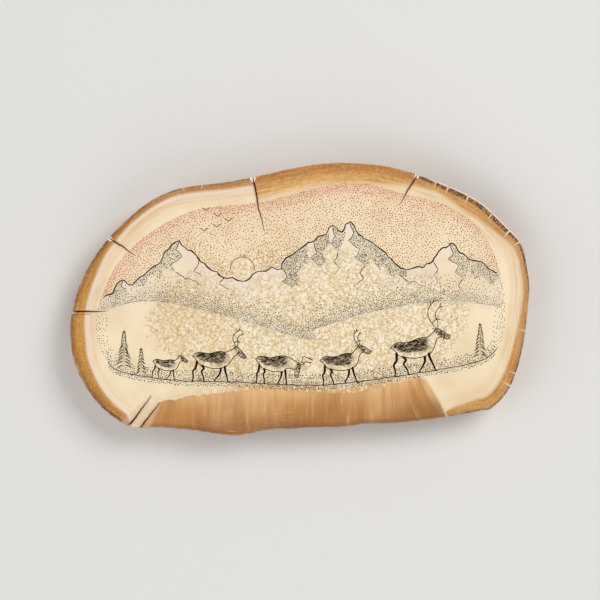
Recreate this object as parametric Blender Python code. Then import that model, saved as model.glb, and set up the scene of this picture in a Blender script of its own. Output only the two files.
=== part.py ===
"""Scrimshaw ivory panel: one polished slice of tusk with an engraved picture on its face

The slice lies on its sawn back. +X runs to the right along the picture, +Y up the picture and
+Z out of the engraved face. The origin is the middle of the box that the underside fills.
Lengths are in metres. The outline and the picture are shares of half the width and half the
height, and the rim, the cracks and the tool marks have sizes of their own.
"""

import math
import random

import bmesh
import bpy
import numpy as np
from mathutils import Vector
from mathutils.geometry import delaunay_2d_cdt

# Driving dimensions of the slice
PANEL_WIDTH = 0.0800
PANEL_HEIGHT = 0.0475
THICKNESS = 0.0070
WALL_TAPER = 0.0004
BACK_BEVEL = 0.0004
FRONT_ROUND = 0.00035

# The worn stretch of the front edge at the upper right, where the rounding is broader
WORN_ROUND = 0.0008
WORN_BEARING = math.radians(27)
WORN_SPREAD = math.radians(24)

# Drying cracks, open at the rim and closed at the tip
CRACK_WIDTH = 0.00026
CRACK_TIP_WIDTH = 0.00010
CRACK_BEND = 0.00010
CRACK_STEPS = 5

# Nicks across the front edge
NICK_WIDTH = 0.00034
NICK_DEPTH = 0.00032
NICK_REACH = 0.0010

# How far a cutter runs on past what it cuts
OVERRUN = 0.0006

# Engraved lines: V cuts whose depth follows their width
LINE_WIDTH = 0.00024
FINE_WIDTH = 0.00018
LEG_WIDTH = 0.00036
CUT_SLOPE = 0.80
DRAWING_MARGIN = 0.0032

# Sizes of the things drawn
HERD_HEIGHT = 0.0058
SPRUCE_HEIGHT = 0.0088
SUN_RADIUS = 0.0021
GOOSE_SPAN = 0.0017

# Fineness of the mesh
RIM_STEPS = 4
ROUND_STEPS = 3
LINE_STEPS = 6
FIGURE_STEPS = 2
MERGE_MILLIMETRES = 0.012
MILLIMETRES = 1000.0

# Outline of the slice, counter-clockwise from the right
OUTLINE = (
    (1.000, 0.037), (0.992, 0.228), (0.965, 0.412), (0.893, 0.551), (0.789, 0.712),
    (0.680, 0.810), (0.554, 0.892), (0.406, 0.966), (0.253, 0.999), (0.101, 0.995),
    (-0.042, 0.957), (-0.195, 0.899), (-0.325, 0.859), (-0.451, 0.833), (-0.556, 0.797),
    (-0.660, 0.709), (-0.765, 0.566), (-0.865, 0.382), (-0.943, 0.162), (-0.989, -0.058),
    (-1.000, -0.271), (-0.976, -0.498), (-0.899, -0.726), (-0.808, -0.872), (-0.721, -0.942),
    (-0.586, -0.944), (-0.451, -0.968), (-0.308, -1.000), (-0.225, -0.991), (-0.147, -0.963),
    (0.001, -0.950), (0.197, -0.937), (0.288, -0.916), (0.401, -0.913), (0.588, -0.880),
    (0.780, -0.821), (0.841, -0.795), (0.919, -0.638), (0.971, -0.359),
)

# Mouth of each crack as a bearing in degrees from the middle, its heading and its length
CRACKS = (
    (183.2, 1.0, 0.0060),
    (162.2, -33.0, 0.0056),
    (111.2, -78.0, 0.0096),
    (46.6, -120.0, 0.0062),
    (216.5, 52.0, 0.0065),
    (218.9, 52.0, 0.0056),
)

# Bearing in degrees and relative size of each nick; the large ones are chips at cracks
NICKS = (
    (183.2, 1.4), (162.2, 1.0), (111.2, 1.7), (46.6, 1.5), (40.9, 0.7), (37.2, 1.0),
    (31.5, 1.1), (24.0, 0.8), (18.2, 1.1), (14.6, 1.0), (-7.9, 0.8), (-19.0, 0.8),
    (-22.4, 1.1), (130.6, 0.8), (136.2, 0.8),
)

# The picture, from the far distance to the near ground
RIDGE = (
    (-0.86, 0.00), (-0.77, 0.14), (-0.73, 0.10), (-0.59, 0.34), (-0.525, 0.43),
    (-0.45, 0.32), (-0.36, 0.20), (-0.25, 0.13), (-0.08, 0.22), (0.06, 0.42),
    (0.145, 0.54), (0.18, 0.49), (0.22, 0.57), (0.30, 0.43), (0.43, 0.24), (0.48, 0.22),
    (0.58, 0.28), (0.655, 0.41), (0.74, 0.29), (0.865, 0.19),
)
RIDGE_ROUGHNESS = 0.14
LEFT_HILL = ((-0.87, -0.09), (-0.66, -0.01), (-0.36, -0.10), (-0.04, -0.26), (0.06, -0.30))
RIGHT_HILL = ((0.88, -0.06), (0.64, -0.01), (0.31, -0.09), (-0.01, -0.26))
GROUND = (
    (-0.835, -0.46), (-0.78, -0.53), (-0.57, -0.59), (-0.26, -0.61), (0.09, -0.63),
    (0.44, -0.56), (0.77, -0.46), (0.86, -0.36),
)
SUN_PLACE = (-0.25, 0.22)
SUN_ARC = range(-10, 191, 20)
FLOCK_PLACE = (-0.31, 0.57)
# Each goose's place behind the first, and the shape of one, in wing spans
FLOCK = ((0.0, 0.0), (-1.1, 0.5), (-1.2, -0.6), (-2.3, 1.1), (-2.5, -1.0))
GOOSE = ((-0.50, 0.26), (-0.24, 0.22), (0.00, 0.00), (0.24, 0.24), (0.50, 0.28))

# One walking caribou facing +X, in heights of its shoulder
CARIBOU_BODY = (
    (-0.66, 0.80), (-0.73, 0.86), (-0.66, 0.93), (-0.50, 0.99), (-0.18, 0.95), (0.14, 1.03),
    (0.40, 1.02), (0.60, 1.14), (0.70, 1.24), (0.80, 1.20), (0.96, 1.06), (1.08, 0.95),
    (1.04, 0.88), (0.94, 0.89), (0.80, 0.97), (0.66, 0.88), (0.56, 0.68), (0.44, 0.54),
    (0.24, 0.47), (-0.06, 0.45), (-0.36, 0.53), (-0.52, 0.60),
)
CARIBOU_LEGS = (
    ((0.36, 0.56), (0.40, 0.34), (0.46, 0.16), (0.50, 0.00), (0.56, 0.00)),
    ((0.24, 0.48), (0.22, 0.32), (0.12, 0.16), (0.02, 0.05), (0.06, 0.00)),
    ((-0.58, 0.72), (-0.62, 0.46), (-0.72, 0.34), (-0.70, 0.14), (-0.74, 0.02), (-0.68, 0.00)),
    ((-0.42, 0.56), (-0.34, 0.44), (-0.42, 0.33), (-0.34, 0.14), (-0.32, 0.00), (-0.26, 0.00)),
)
CARIBOU_ANTLERS = (
    ((0.00, 0.00), (-0.10, 0.18), (-0.18, 0.42), (-0.10, 0.66), (0.10, 0.82), (0.22, 0.81)),
    ((-0.10, 0.18), (0.06, 0.26), (0.20, 0.22)),
    ((-0.04, 0.72), (-0.04, 0.90)),
    ((0.04, 0.78), (0.10, 0.94)),
    ((0.06, 0.00), (0.08, 0.18), (0.04, 0.40), (0.16, 0.58), (0.32, 0.64)),
    ((0.20, 0.60), (0.26, 0.74)),
)
ANTLER_ROOT = (0.70, 1.24)
NECK_ROOT = (0.36, 0.84)
NECK_REACH = 0.28

# Place along the ground of each animal, its height as a share of the tallest, the size of its
# antlers, the length of its stride and the dip of its head in degrees
HERD = (
    (0.52, 1.00, 1.00, 1.00, 0.0),
    (0.19, 0.86, 0.62, 0.80, -7.0),
    (-0.11, 0.83, 0.55, 0.55, 58.0),
    (-0.375, 0.88, 0.70, 0.95, 5.0),
    (-0.585, 0.58, 0.00, 0.75, -10.0),
)
# Place along the ground and height of each tree, as a share of the tallest
SPRUCES = ((-0.765, 0.90), (-0.69, 0.60), (0.785, 0.80))
SPRUCE_TIERS = 7
SPRUCE_LOWEST = 0.18
SPRUCE_HIGHEST = 0.90
SPRUCE_REACH = 0.20
SPRUCE_DROOP = 0.08


def clear_scene():
    """Remove the objects that a new file starts with"""
    for thing in list(bpy.data.objects):
        bpy.data.objects.remove(thing, do_unlink=True)


def place(share):
    """Point of the face at a share of the half width and the half height"""
    return (share[0] * PANEL_WIDTH / 2, share[1] * PANEL_HEIGHT / 2)


def smooth(points, steps, closed=False):
    """Catmull-Rom curve through points, with that many steps to a span"""
    count = len(points)
    spans = count if closed else count - 1
    curve = []
    for span in range(spans):
        around = [span - 1, span, span + 1, span + 2]
        if closed:
            a, b, c, d = (points[index % count] for index in around)
        else:
            a, b, c, d = (points[min(max(index, 0), count - 1)] for index in around)
        for step in range(steps):
            t = step / steps
            curve.append(tuple(
                0.5 * (2 * q + (r - p) * t + (2 * p - 5 * q + 4 * r - s) * t ** 2
                       + (3 * q - p - 3 * r + s) * t ** 3)
                for p, q, r, s in zip(a, b, c, d)
            ))
    if not closed:
        curve.append(tuple(points[-1]))
    return curve


def rugged(points, roughness, seed):
    """Break every stretch of a line once, to one side, as rock edges do"""
    draw = random.Random(seed)
    line = [points[0]]
    for start, end in zip(points, points[1:]):
        along = draw.uniform(0.38, 0.62)
        push = draw.uniform(-roughness, roughness)
        run = (end[0] - start[0], end[1] - start[1])
        line.append((start[0] + along * run[0] - push * run[1],
                     start[1] + along * run[1] + push * run[0]))
        line.append(end)
    return line


def turned(point, centre, angle):
    """A point turned about a centre"""
    x, y = point[0] - centre[0], point[1] - centre[1]
    return (centre[0] + x * math.cos(angle) - y * math.sin(angle),
            centre[1] + x * math.sin(angle) + y * math.cos(angle))


def rim_loop():
    """Points along the rim, fitted exactly into the panel's width and height"""
    curve = smooth(OUTLINE, RIM_STEPS, closed=True)
    columns = []
    for values, size in zip(zip(*curve), (PANEL_WIDTH, PANEL_HEIGHT)):
        low, high = min(values), max(values)
        columns.append([(value - (low + high) / 2) * size / (high - low) for value in values])
    return [Vector(point) for point in zip(*columns)]


def rim_normals(rim):
    """Outward direction at each point of the rim"""
    normals = []
    for index in range(len(rim)):
        along = rim[(index + 1) % len(rim)] - rim[index - 1]
        normals.append(Vector((along.y, -along.x)).normalized())
    return normals


def bearing_gap(one, other):
    """Angle between two bearings, never more than half a turn"""
    return abs((one - other + math.pi) % math.tau - math.pi)


def front_round(point):
    """Width of the rounding of the front edge at a point of the rim"""
    gap = bearing_gap(math.atan2(point.y, point.x), WORN_BEARING)
    if gap >= WORN_SPREAD:
        return FRONT_ROUND
    worn = math.sqrt(math.cos(gap / WORN_SPREAD * math.pi / 2))
    return FRONT_ROUND + (WORN_ROUND - FRONT_ROUND) * worn


def inside(point, loop):
    """Whether a point lies inside a closed loop"""
    within = False
    for index, corner in enumerate(loop):
        last = loop[index - 1]
        if (corner[1] > point[1]) == (last[1] > point[1]):
            continue
        cross = corner[0] + (point[1] - corner[1]) * (last[0] - corner[0]) / (last[1] - corner[1])
        if point[0] < cross:
            within = not within
    return within


def stroke(points, width, closed=False):
    """An engraved line: its points and its width at each, run out to nothing at open ends"""
    line = [tuple(point) for point in points]
    if closed:
        return line + line[:1], [width] * (len(line) + 1)
    return line, [0.0] + [width] * (len(line) - 2) + [0.0]


def within_field(strokes, field):
    """The stretches of the strokes that lie inside the field for the picture"""
    kept = []
    for line, widths in strokes:
        run = []
        for point, width in zip(line, widths):
            if inside(point, field):
                run.append((point, width))
                continue
            kept.append(run)
            run = []
        kept.append(run)
    return [tuple(zip(*run)) for run in kept if len(run) > 1]


def landscape_strokes():
    """The far ridge, two hills and the ground line"""
    ridge = rugged([place(point) for point in RIDGE], RIDGE_ROUGHNESS, seed=4)
    strokes = [stroke(ridge, LINE_WIDTH)]
    for crest in (LEFT_HILL, RIGHT_HILL, GROUND):
        line = [place(point) for point in smooth(crest, LINE_STEPS)]
        strokes.append(stroke(line, FINE_WIDTH))
    return strokes


def sky_strokes():
    """A low sun and a flock of geese"""
    centre = Vector(place(SUN_PLACE))
    angles = [math.radians(degrees) for degrees in SUN_ARC]
    arc = [centre + SUN_RADIUS * Vector((math.cos(a), math.sin(a))) for a in angles]
    strokes = [stroke(arc, FINE_WIDTH)]
    leader = Vector(place(FLOCK_PLACE))
    for behind in FLOCK:
        bird = [leader + GOOSE_SPAN * (Vector(behind) + Vector(point)) for point in GOOSE]
        strokes.append(stroke(bird, FINE_WIDTH))
    return strokes


def ground_at(share):
    """Point of the ground line at a place along the panel, and the line's slope there"""
    x = share * PANEL_WIDTH / 2
    line = [place(point) for point in smooth(GROUND, LINE_STEPS)]
    for start, end in zip(line, line[1:]):
        if start[0] <= x <= end[0]:
            slope = (end[1] - start[1]) / (end[0] - start[0])
            return (x, start[1] + slope * (x - start[0])), math.atan(slope)
    return line[-1], 0.0


def caribou_strokes(share, size, antlers, stride, dip):
    """Body, legs and antlers of one animal standing on the ground line"""
    foot, slope = ground_at(share)
    height = HERD_HEIGHT * size

    def nod(point):
        bend = min(max((point[0] - NECK_ROOT[0]) / NECK_REACH, 0.0), 1.0)
        return turned(point, NECK_ROOT, -math.radians(dip) * bend)

    def on_face(points):
        spots = []
        for point in points:
            x, y = turned(point, (0.0, 0.0), slope)
            spots.append((foot[0] + x * height, foot[1] + y * height))
        return spots

    body = on_face([nod(point) for point in CARIBOU_BODY])
    strokes = [stroke(smooth(body, FIGURE_STEPS, closed=True), LINE_WIDTH, closed=True)]
    for leg in CARIBOU_LEGS:
        hip = leg[0][0]
        step = on_face([(hip + (x - hip) * stride, y) for x, y in leg])
        strokes.append(stroke(smooth(step, FIGURE_STEPS), LEG_WIDTH * size))
    for branch in CARIBOU_ANTLERS:
        if not antlers:
            break
        grown = [(ANTLER_ROOT[0] + x * antlers, ANTLER_ROOT[1] + y * antlers) for x, y in branch]
        horn = on_face([nod(point) for point in grown])
        strokes.append(stroke(smooth(horn, FIGURE_STEPS), FINE_WIDTH))
    return strokes


def spruce_strokes(share, size):
    """A narrow tree: a trunk and drooping branches that shorten towards the top"""
    foot = Vector(ground_at(share)[0])
    height = SPRUCE_HEIGHT * size
    trunk = [foot + Vector((0.0, height * part)) for part in (0.0, 0.5, 1.0)]
    strokes = [stroke(trunk, LINE_WIDTH)]
    for tier in range(SPRUCE_TIERS):
        level = SPRUCE_LOWEST + (SPRUCE_HIGHEST - SPRUCE_LOWEST) * tier / (SPRUCE_TIERS - 1)
        root = foot + Vector((0.0, height * level))
        reach = height * SPRUCE_REACH * (1 + SPRUCE_DROOP - level)
        droop = height * SPRUCE_DROOP
        for side in (-1, 1):
            branch = [
                root + Vector((side * FINE_WIDTH, 0.0)),
                root + Vector((side * reach / 2, -droop / 3)),
                root + Vector((side * reach, -droop)),
            ]
            strokes.append(stroke(branch, FINE_WIDTH))
    return strokes


def picture_strokes():
    """Every engraved line of the picture"""
    strokes = landscape_strokes() + sky_strokes()
    for animal in HERD:
        strokes += caribou_strokes(*animal)
    for tree in SPRUCES:
        strokes += spruce_strokes(*tree)
    return strokes


def groove_tracks(line, widths):
    """Left lip, floor and right lip of one engraved line"""
    left, right = [], []
    last = len(line) - 1
    closed = line[0] == line[last]
    for index, width in enumerate(widths):
        before = line[last - 1] if closed and index == 0 else line[max(index - 1, 0)]
        after = line[1] if closed and index == last else line[min(index + 1, last)]
        along = (Vector(after) - Vector(before)).normalized()
        aside = Vector((-along.y, along.x)) * width / 2
        left.append(Vector(line[index]) + aside)
        right.append(Vector(line[index]) - aside)
    return left, [Vector(point) for point in line], right


def cut_depths(points, strokes):
    """Depth of the V cuts at each point, less with the way from the middle of the line"""
    spots = np.array([(point[0], point[1]) for point in points])
    deepest = np.zeros(len(spots))
    for line, widths in strokes:
        for start, end, first, second in zip(line, line[1:], widths, widths[1:]):
            start = np.array(start)
            run = np.array(end) - start
            along = np.clip((spots - start) @ run / (run @ run), 0.0, 1.0)
            away = np.linalg.norm(spots - start - along[:, None] * run, axis=1)
            half = (first + along * (second - first)) / 2
            deepest = np.maximum(deepest, CUT_SLOPE * (half - away))
    return deepest


def engraved_face(mesh, rim_verts, strokes):
    """Fill the front rim with a flat face that the engraved lines are cut into"""
    points = [Vector(vert.co.xy) for vert in rim_verts]
    edges = [(index, (index + 1) % len(points)) for index in range(len(points))]
    for line, widths in strokes:
        for track in groove_tracks(line, widths):
            first = len(points)
            points += track
            edges += [(first + step, first + step + 1) for step in range(len(track) - 1)]
    flat = [point * MILLIMETRES for point in points]
    spots, _, faces, origins, _, _ = delaunay_2d_cdt(flat, edges, [], 1, MERGE_MILLIMETRES)
    spots = [spot / MILLIMETRES for spot in spots]
    verts = []
    for spot, sources, depth in zip(spots, origins, cut_depths(spots, strokes)):
        rims = [source for source in sources if source < len(rim_verts)]
        if rims:
            verts.append(rim_verts[rims[0]])
        else:
            verts.append(mesh.verts.new((spot.x, spot.y, THICKNESS - depth)))
    for face in faces:
        mesh.faces.new([verts[index] for index in face])


def wall_levels(rim):
    """Inset and height of each ring of the wall at each point of the rim, from the back up"""
    levels = [
        [(WALL_TAPER + BACK_BEVEL, 0.0)] * len(rim),
        [(WALL_TAPER, BACK_BEVEL)] * len(rim),
    ]
    rounds = [front_round(point) for point in rim]
    for step in range(ROUND_STEPS + 1):
        turn = math.pi / 2 * step / ROUND_STEPS
        levels.append([
            (size * (1 - math.cos(turn)), THICKNESS - size * (1 - math.sin(turn)))
            for size in rounds
        ])
    return levels


def slice_mesh():
    """The slice: back, bevel, tapered wall, rounded front edge and engraved face"""
    mesh = bmesh.new()
    rim = rim_loop()
    normals = rim_normals(rim)
    rings = []
    for level in wall_levels(rim):
        ring = []
        for point, normal, (inset, z) in zip(rim, normals, level):
            spot = point - normal * inset
            ring.append(mesh.verts.new((spot.x, spot.y, z)))
        rings.append(ring)
    mesh.faces.new(rings[0])
    for lower, upper in zip(rings, rings[1:]):
        join_rings(mesh, lower, upper)
    field = [point - normal * DRAWING_MARGIN for point, normal in zip(rim, normals)]
    engraved_face(mesh, rings[-1], within_field(picture_strokes(), field))
    bmesh.ops.recalc_face_normals(mesh, faces=mesh.faces)
    return mesh


def join_rings(mesh, lower, upper):
    """A band of faces between two rings"""
    for index in range(len(lower)):
        after = (index + 1) % len(lower)
        mesh.faces.new((lower[index], lower[after], upper[after], upper[index]))


def rim_place(bearing):
    """Point of the rim in a direction from the middle, and the outward direction there"""
    rim = rim_loop()
    wanted = math.radians(bearing)
    best = min(range(len(rim)), key=lambda i: bearing_gap(math.atan2(rim[i].y, rim[i].x), wanted))
    return rim[best], rim_normals(rim)[best]


def crack_cutters(mesh):
    """A thin upright wedge along each drying crack, right through the slice"""
    draw = random.Random(11)
    for bearing, heading, length in CRACKS:
        mouth, _ = rim_place(bearing)
        ahead = Vector((math.cos(math.radians(heading)), math.sin(math.radians(heading))))
        aside = Vector((-ahead.y, ahead.x))
        left, right = [], []
        for step in range(CRACK_STEPS + 1):
            share = step / CRACK_STEPS
            reach = share * (length + OVERRUN) - OVERRUN
            middle = mouth + ahead * reach + aside * draw.uniform(-CRACK_BEND, CRACK_BEND)
            half = (CRACK_WIDTH + share * (CRACK_TIP_WIDTH - CRACK_WIDTH)) / 2
            left.append(middle + aside * half)
            right.append(middle - aside * half)
        loop = right + left[::-1]
        lower = [mesh.verts.new((point.x, point.y, -OVERRUN)) for point in loop]
        upper = [mesh.verts.new((point.x, point.y, THICKNESS + OVERRUN)) for point in loop]
        mesh.faces.new(lower)
        mesh.faces.new(upper)
        join_rings(mesh, lower, upper)


def nick_cutters(mesh):
    """A small V wedge over the front edge at each nick, shallower towards the face"""
    for bearing, size in NICKS:
        mouth, outward = rim_place(bearing)
        aside = Vector((-outward.y, outward.x)) * NICK_WIDTH * size / 2
        outer = mouth + outward * OVERRUN
        inner = mouth - outward * NICK_REACH * size
        top = THICKNESS + NICK_DEPTH
        keel = THICKNESS - front_round(mouth) - NICK_DEPTH * size
        corners = (
            (outer - aside, top), (outer + aside, top), (outer, keel),
            (inner - aside, top), (inner + aside, top), (inner, THICKNESS + NICK_DEPTH / 4),
        )
        verts = [mesh.verts.new((spot.x, spot.y, z)) for spot, z in corners]
        mesh.faces.new(verts[:3])
        mesh.faces.new(verts[3:])
        join_rings(mesh, verts[:3], verts[3:])


def add_object(name, mesh):
    """Put a mesh into the scene as an object of its own"""
    data = bpy.data.meshes.new(name)
    mesh.to_mesh(data)
    mesh.free()
    thing = bpy.data.objects.new(name, data)
    bpy.context.scene.collection.objects.link(thing)
    return thing


def add_cutter(name, fill):
    """A hidden object that only cuts another"""
    mesh = bmesh.new()
    fill(mesh)
    bmesh.ops.recalc_face_normals(mesh, faces=mesh.faces)
    cutter = add_object(name, mesh)
    cutter.hide_render = True
    cutter.display_type = 'WIRE'
    return cutter


def ivory_material():
    """Polished tusk"""
    material = bpy.data.materials.new("polished_ivory")
    material.use_nodes = True
    shader = material.node_tree.nodes["Principled BSDF"]
    shader.inputs["Base Color"].default_value = (0.84, 0.70, 0.47, 1.0)
    shader.inputs["Roughness"].default_value = 0.30
    shader.inputs["Metallic"].default_value = 0.0
    return material


def build():
    """The whole panel"""
    clear_scene()
    panel = add_object("ivory_panel", slice_mesh())
    panel.data.materials.append(ivory_material())
    for name, fill in (("drying_cracks", crack_cutters), ("rim_nicks", nick_cutters)):
        cut = panel.modifiers.new(name, 'BOOLEAN')
        cut.operation = 'DIFFERENCE'
        cut.solver = 'EXACT'
        cut.object = add_cutter(name, fill)
    panel.data.shade_smooth()
    panel.data.set_sharp_from_angle(angle=math.radians(28))


build()
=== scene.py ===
"""The finished look of one polished slice of tusk with an inked picture cut into its face

The slice lies on its sawn back, engraved face up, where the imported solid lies. Its outline,
cracks, chips and main lines are the solid's own. The stippled dots, fur, needles and facets are
cut finer here. Lengths are in millimetres until a mesh is made, and the picture is drawn in
shares of half the width and half the height. Colours are 8-bit display values.
"""

import math
import random
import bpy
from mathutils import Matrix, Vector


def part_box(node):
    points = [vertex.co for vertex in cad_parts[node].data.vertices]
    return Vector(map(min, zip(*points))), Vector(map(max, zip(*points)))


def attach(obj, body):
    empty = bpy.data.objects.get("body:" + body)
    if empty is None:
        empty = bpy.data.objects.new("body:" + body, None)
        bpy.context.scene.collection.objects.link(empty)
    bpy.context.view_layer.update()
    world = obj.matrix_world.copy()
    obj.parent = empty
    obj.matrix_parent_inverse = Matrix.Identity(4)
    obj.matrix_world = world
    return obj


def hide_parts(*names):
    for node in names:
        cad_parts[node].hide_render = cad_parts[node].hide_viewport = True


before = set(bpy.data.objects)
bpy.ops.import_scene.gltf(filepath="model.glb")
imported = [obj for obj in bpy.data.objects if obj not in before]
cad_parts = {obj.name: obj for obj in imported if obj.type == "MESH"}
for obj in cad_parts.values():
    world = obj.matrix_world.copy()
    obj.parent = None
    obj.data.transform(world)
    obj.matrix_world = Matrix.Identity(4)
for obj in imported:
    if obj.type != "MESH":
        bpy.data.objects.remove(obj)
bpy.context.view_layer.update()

from types import SimpleNamespace

import bmesh
import bpy
import numpy as np
from mathutils import Vector
from mathutils.geometry import delaunay_2d_cdt
from mathutils.kdtree import KDTree

MM = 0.001
LOW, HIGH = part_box("ivory_panel")
WIDTH, HEIGHT, THICKNESS = ((high - low) / MM for low, high in zip(LOW, HIGH))
HALF_SIZE = np.array((WIDTH, HEIGHT)) / 2

# Edges of the slice
WALL_TAPER = 0.40
BACK_BEVEL = 0.40
FRONT_ROUND = 0.35
WORN_ROUND = 0.80
WORN_BEARING = math.radians(27)
WORN_SPREAD = math.radians(24)
RIM_STEPS = 12
WAY_STEP = 0.06
ROUND_STEPS = 5
WALL_HEIGHTS = (1.5, 2.7, 3.9, 5.1)

# Drying cracks
CRACK_STEP = 0.26
CRACK_BEND = 0.10
CRACK_BEND_STEPS = 5
CRACK_JITTER = 0.035
CRACK_TIP = 0.02
CRACK_START = 1.0
CRACK_OVERRUN = 0.6
CRACK_PINCH = 0.97
CRACK_CLOSED = 3.1
CRACK_CLEARANCE = 0.16

# Nicks and chips across the front edge
NICK_WIDTH = 0.29
NICK_DEPTH = 0.32
NICK_REACH = 1.7
CHIP_DEPTH = FRONT_ROUND + NICK_DEPTH * 1.4
CHALKY_SHARE = 0.005
RIM_CLEARANCE = 0.10

# Engraved lines
LINE_WIDTH = 0.16
FINE_WIDTH = 0.15
LEG_WIDTH = 0.34
HAIR_WIDTH = 0.12
CUT_SLOPE = 0.80
DRAWING_MARGIN = 3.2
LINE_STEPS = 10
FIGURE_STEPS = 4
BORDER_STEPS = 4

# Stippled dots
BROAD_DOT_RADIUS = 0.13
SKY_DOT_RADIUS = 0.115
DOT_RADIUS = 0.105
DOT_DEPTH = 0.06
DOT_SIDES = 6
DOT_LEAST = 0.65
DOT_MOST = 1.15
DOT_ROOM = 1.3
DOT_TRIES = 24
THICK_TRIES = 60

# Fineness of the face and the back
FACE_PITCH = 0.95
BACK_PITCH = 1.5
SUPPORT_WAY = 0.16
MERGE_WAY = 0.003
SHARP_ANGLE = math.radians(22)
GRID_CLEARANCE = 0.42
BACK_CLEARANCE = 0.4
INKED_DEPTH = 0.004

# Ways at which points beside lines hold the surface and its tints
CRACK_SUPPORTS = (0.3, 0.6)
GROUND_SUPPORT = 0.45
SKY_SUPPORT = 0.15
SHADE_SUPPORT = 0.1
SUPPORT_STEP = 0.45
SHADE_STEP = 0.4
SUPPORT_FROM_GROOVE = 0.12
SUPPORT_FROM_CRACK = 0.08

# Strips of the map that the wall and the cracks' sides take, and the size of the back in it
WALL_MAP = (0.001, 0.033)
CRACK_MAP = (0.036, 0.043)
BACK_MAP = 0.57

# Sizes of the things drawn
HERD_HEIGHT = 5.8
SPRUCE_HEIGHT = 8.8
SUN_RADIUS = 2.1
GOOSE_SPAN = 1.7

# Material slots, in order
IVORY, LINING, CHALK, DARK_INK, BROWN_INK, ROSE_INK, SLATE_INK, GREY_INK = range(8)

# Outline of the slice, counter-clockwise from the right
OUTLINE = (
    (1.000, 0.037), (0.992, 0.228), (0.965, 0.412), (0.893, 0.551), (0.789, 0.712),
    (0.680, 0.810), (0.554, 0.892), (0.406, 0.966), (0.253, 0.999), (0.101, 0.995),
    (-0.042, 0.957), (-0.195, 0.899), (-0.325, 0.859), (-0.451, 0.833), (-0.556, 0.797),
    (-0.660, 0.709), (-0.765, 0.566), (-0.865, 0.382), (-0.943, 0.162), (-0.989, -0.058),
    (-1.000, -0.271), (-0.976, -0.498), (-0.899, -0.726), (-0.808, -0.872), (-0.721, -0.942),
    (-0.586, -0.944), (-0.451, -0.968), (-0.308, -1.000), (-0.225, -0.991), (-0.147, -0.963),
    (0.001, -0.950), (0.197, -0.937), (0.288, -0.916), (0.401, -0.913), (0.588, -0.880),
    (0.780, -0.821), (0.841, -0.795), (0.919, -0.638), (0.971, -0.359),
)

# Each crack's mouth as a bearing in degrees, its heading, its length, its width at the mouth
# and the width of the chip at its mouth
CRACKS = (
    (183.2, 1.0, 6.0, 0.22, 0.45),
    (162.2, -33.0, 5.6, 0.20, 0.70),
    (111.2, -78.5, 9.6, 0.20, 1.00),
    (46.6, -120.0, 6.2, 0.17, 0.70),
    (216.5, 52.0, 6.5, 0.22, 0.0),
    (218.9, 52.0, 5.6, 0.15, 0.0),
)

# A hairline crack beside the first crack, in millimetres
HAIR_CRACK = ((-39.40, -2.74), (-38.60, -2.70), (-37.60, -2.62), (-36.20, -2.60))

# Bearing in degrees and relative size of each nick
NICKS = (
    (40.9, 0.7), (37.2, 1.0), (31.5, 1.1), (24.0, 0.8), (18.2, 1.1), (14.6, 1.0),
    (-7.9, 0.8), (-19.0, 0.8), (-22.4, 1.1), (130.6, 0.5), (136.2, 0.5),
)

# Width of the brown rind by bearing in degrees
RIND_WIDTHS = (
    (0, 1.1), (10, 1.3), (20, 2.1), (30, 3.0), (40, 1.7), (46, 2.0), (52, 2.7), (60, 3.5),
    (75, 3.5), (90, 3.6), (110.8, 3.8), (111.4, 1.4), (130, 1.2), (155, 1.1), (165, 1.4),
    (178, 2.15), (190, 2.65), (203, 2.2), (216, 1.7), (216.9, -0.6), (317, -0.6), (319, 0.3),
    (323, 1.5), (329, 2.2), (338, 2.1), (350, 1.6),
)
# How golden and broad the rind's growth is, and the width of its dark outermost skin, by bearing;
# along the lower right that dark edge is painted shade
GOLDEN = (
    (0, 0.0), (15, 0.2), (30, 0.7), (42, 0.3), (50, 0.9), (110.8, 1.0), (111.4, 0.0), (359, 0.0),
)
DARK_SKIN_AND_SHADE = (
    (0, 0.1), (12, 0.5), (20, 1.0), (36, 1.05), (45, 0.5), (50, 0.05), (110, 0.05), (116, 0.14),
    (160, 0.18), (172, 0.15), (200, 0.15), (208, 0.35), (214, 0.45), (216, 0.1), (318, 0.1),
    (325, 0.22), (334, 0.26), (342, 0.24), (352, 0.2), (359, 0.1),
)

# How far into the rind the side wall is tinted as
SIDE_WAY = 0.7

# Zones of the ivory
BAND_EDGE = (
    (-0.76, -1.10), (-0.694, -0.941), (-0.617, -0.755), (-0.560, -0.740), (-0.486, -0.707),
    (-0.404, -0.700), (-0.321, -0.682), (-0.221, -0.667), (-0.125, -0.652), (-0.012, -0.674),
    (0.097, -0.678), (0.206, -0.689), (0.280, -0.674), (0.375, -0.627), (0.458, -0.586),
    (0.514, -0.556), (0.549, -0.586), (0.580, -0.667), (0.610, -0.755), (0.641, -0.858),
    (0.675, -0.96), (0.70, -1.10),
)
CORE_CENTRE = (0.036, -0.153)
CORE_REACH = (0.700, 0.540)

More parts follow.
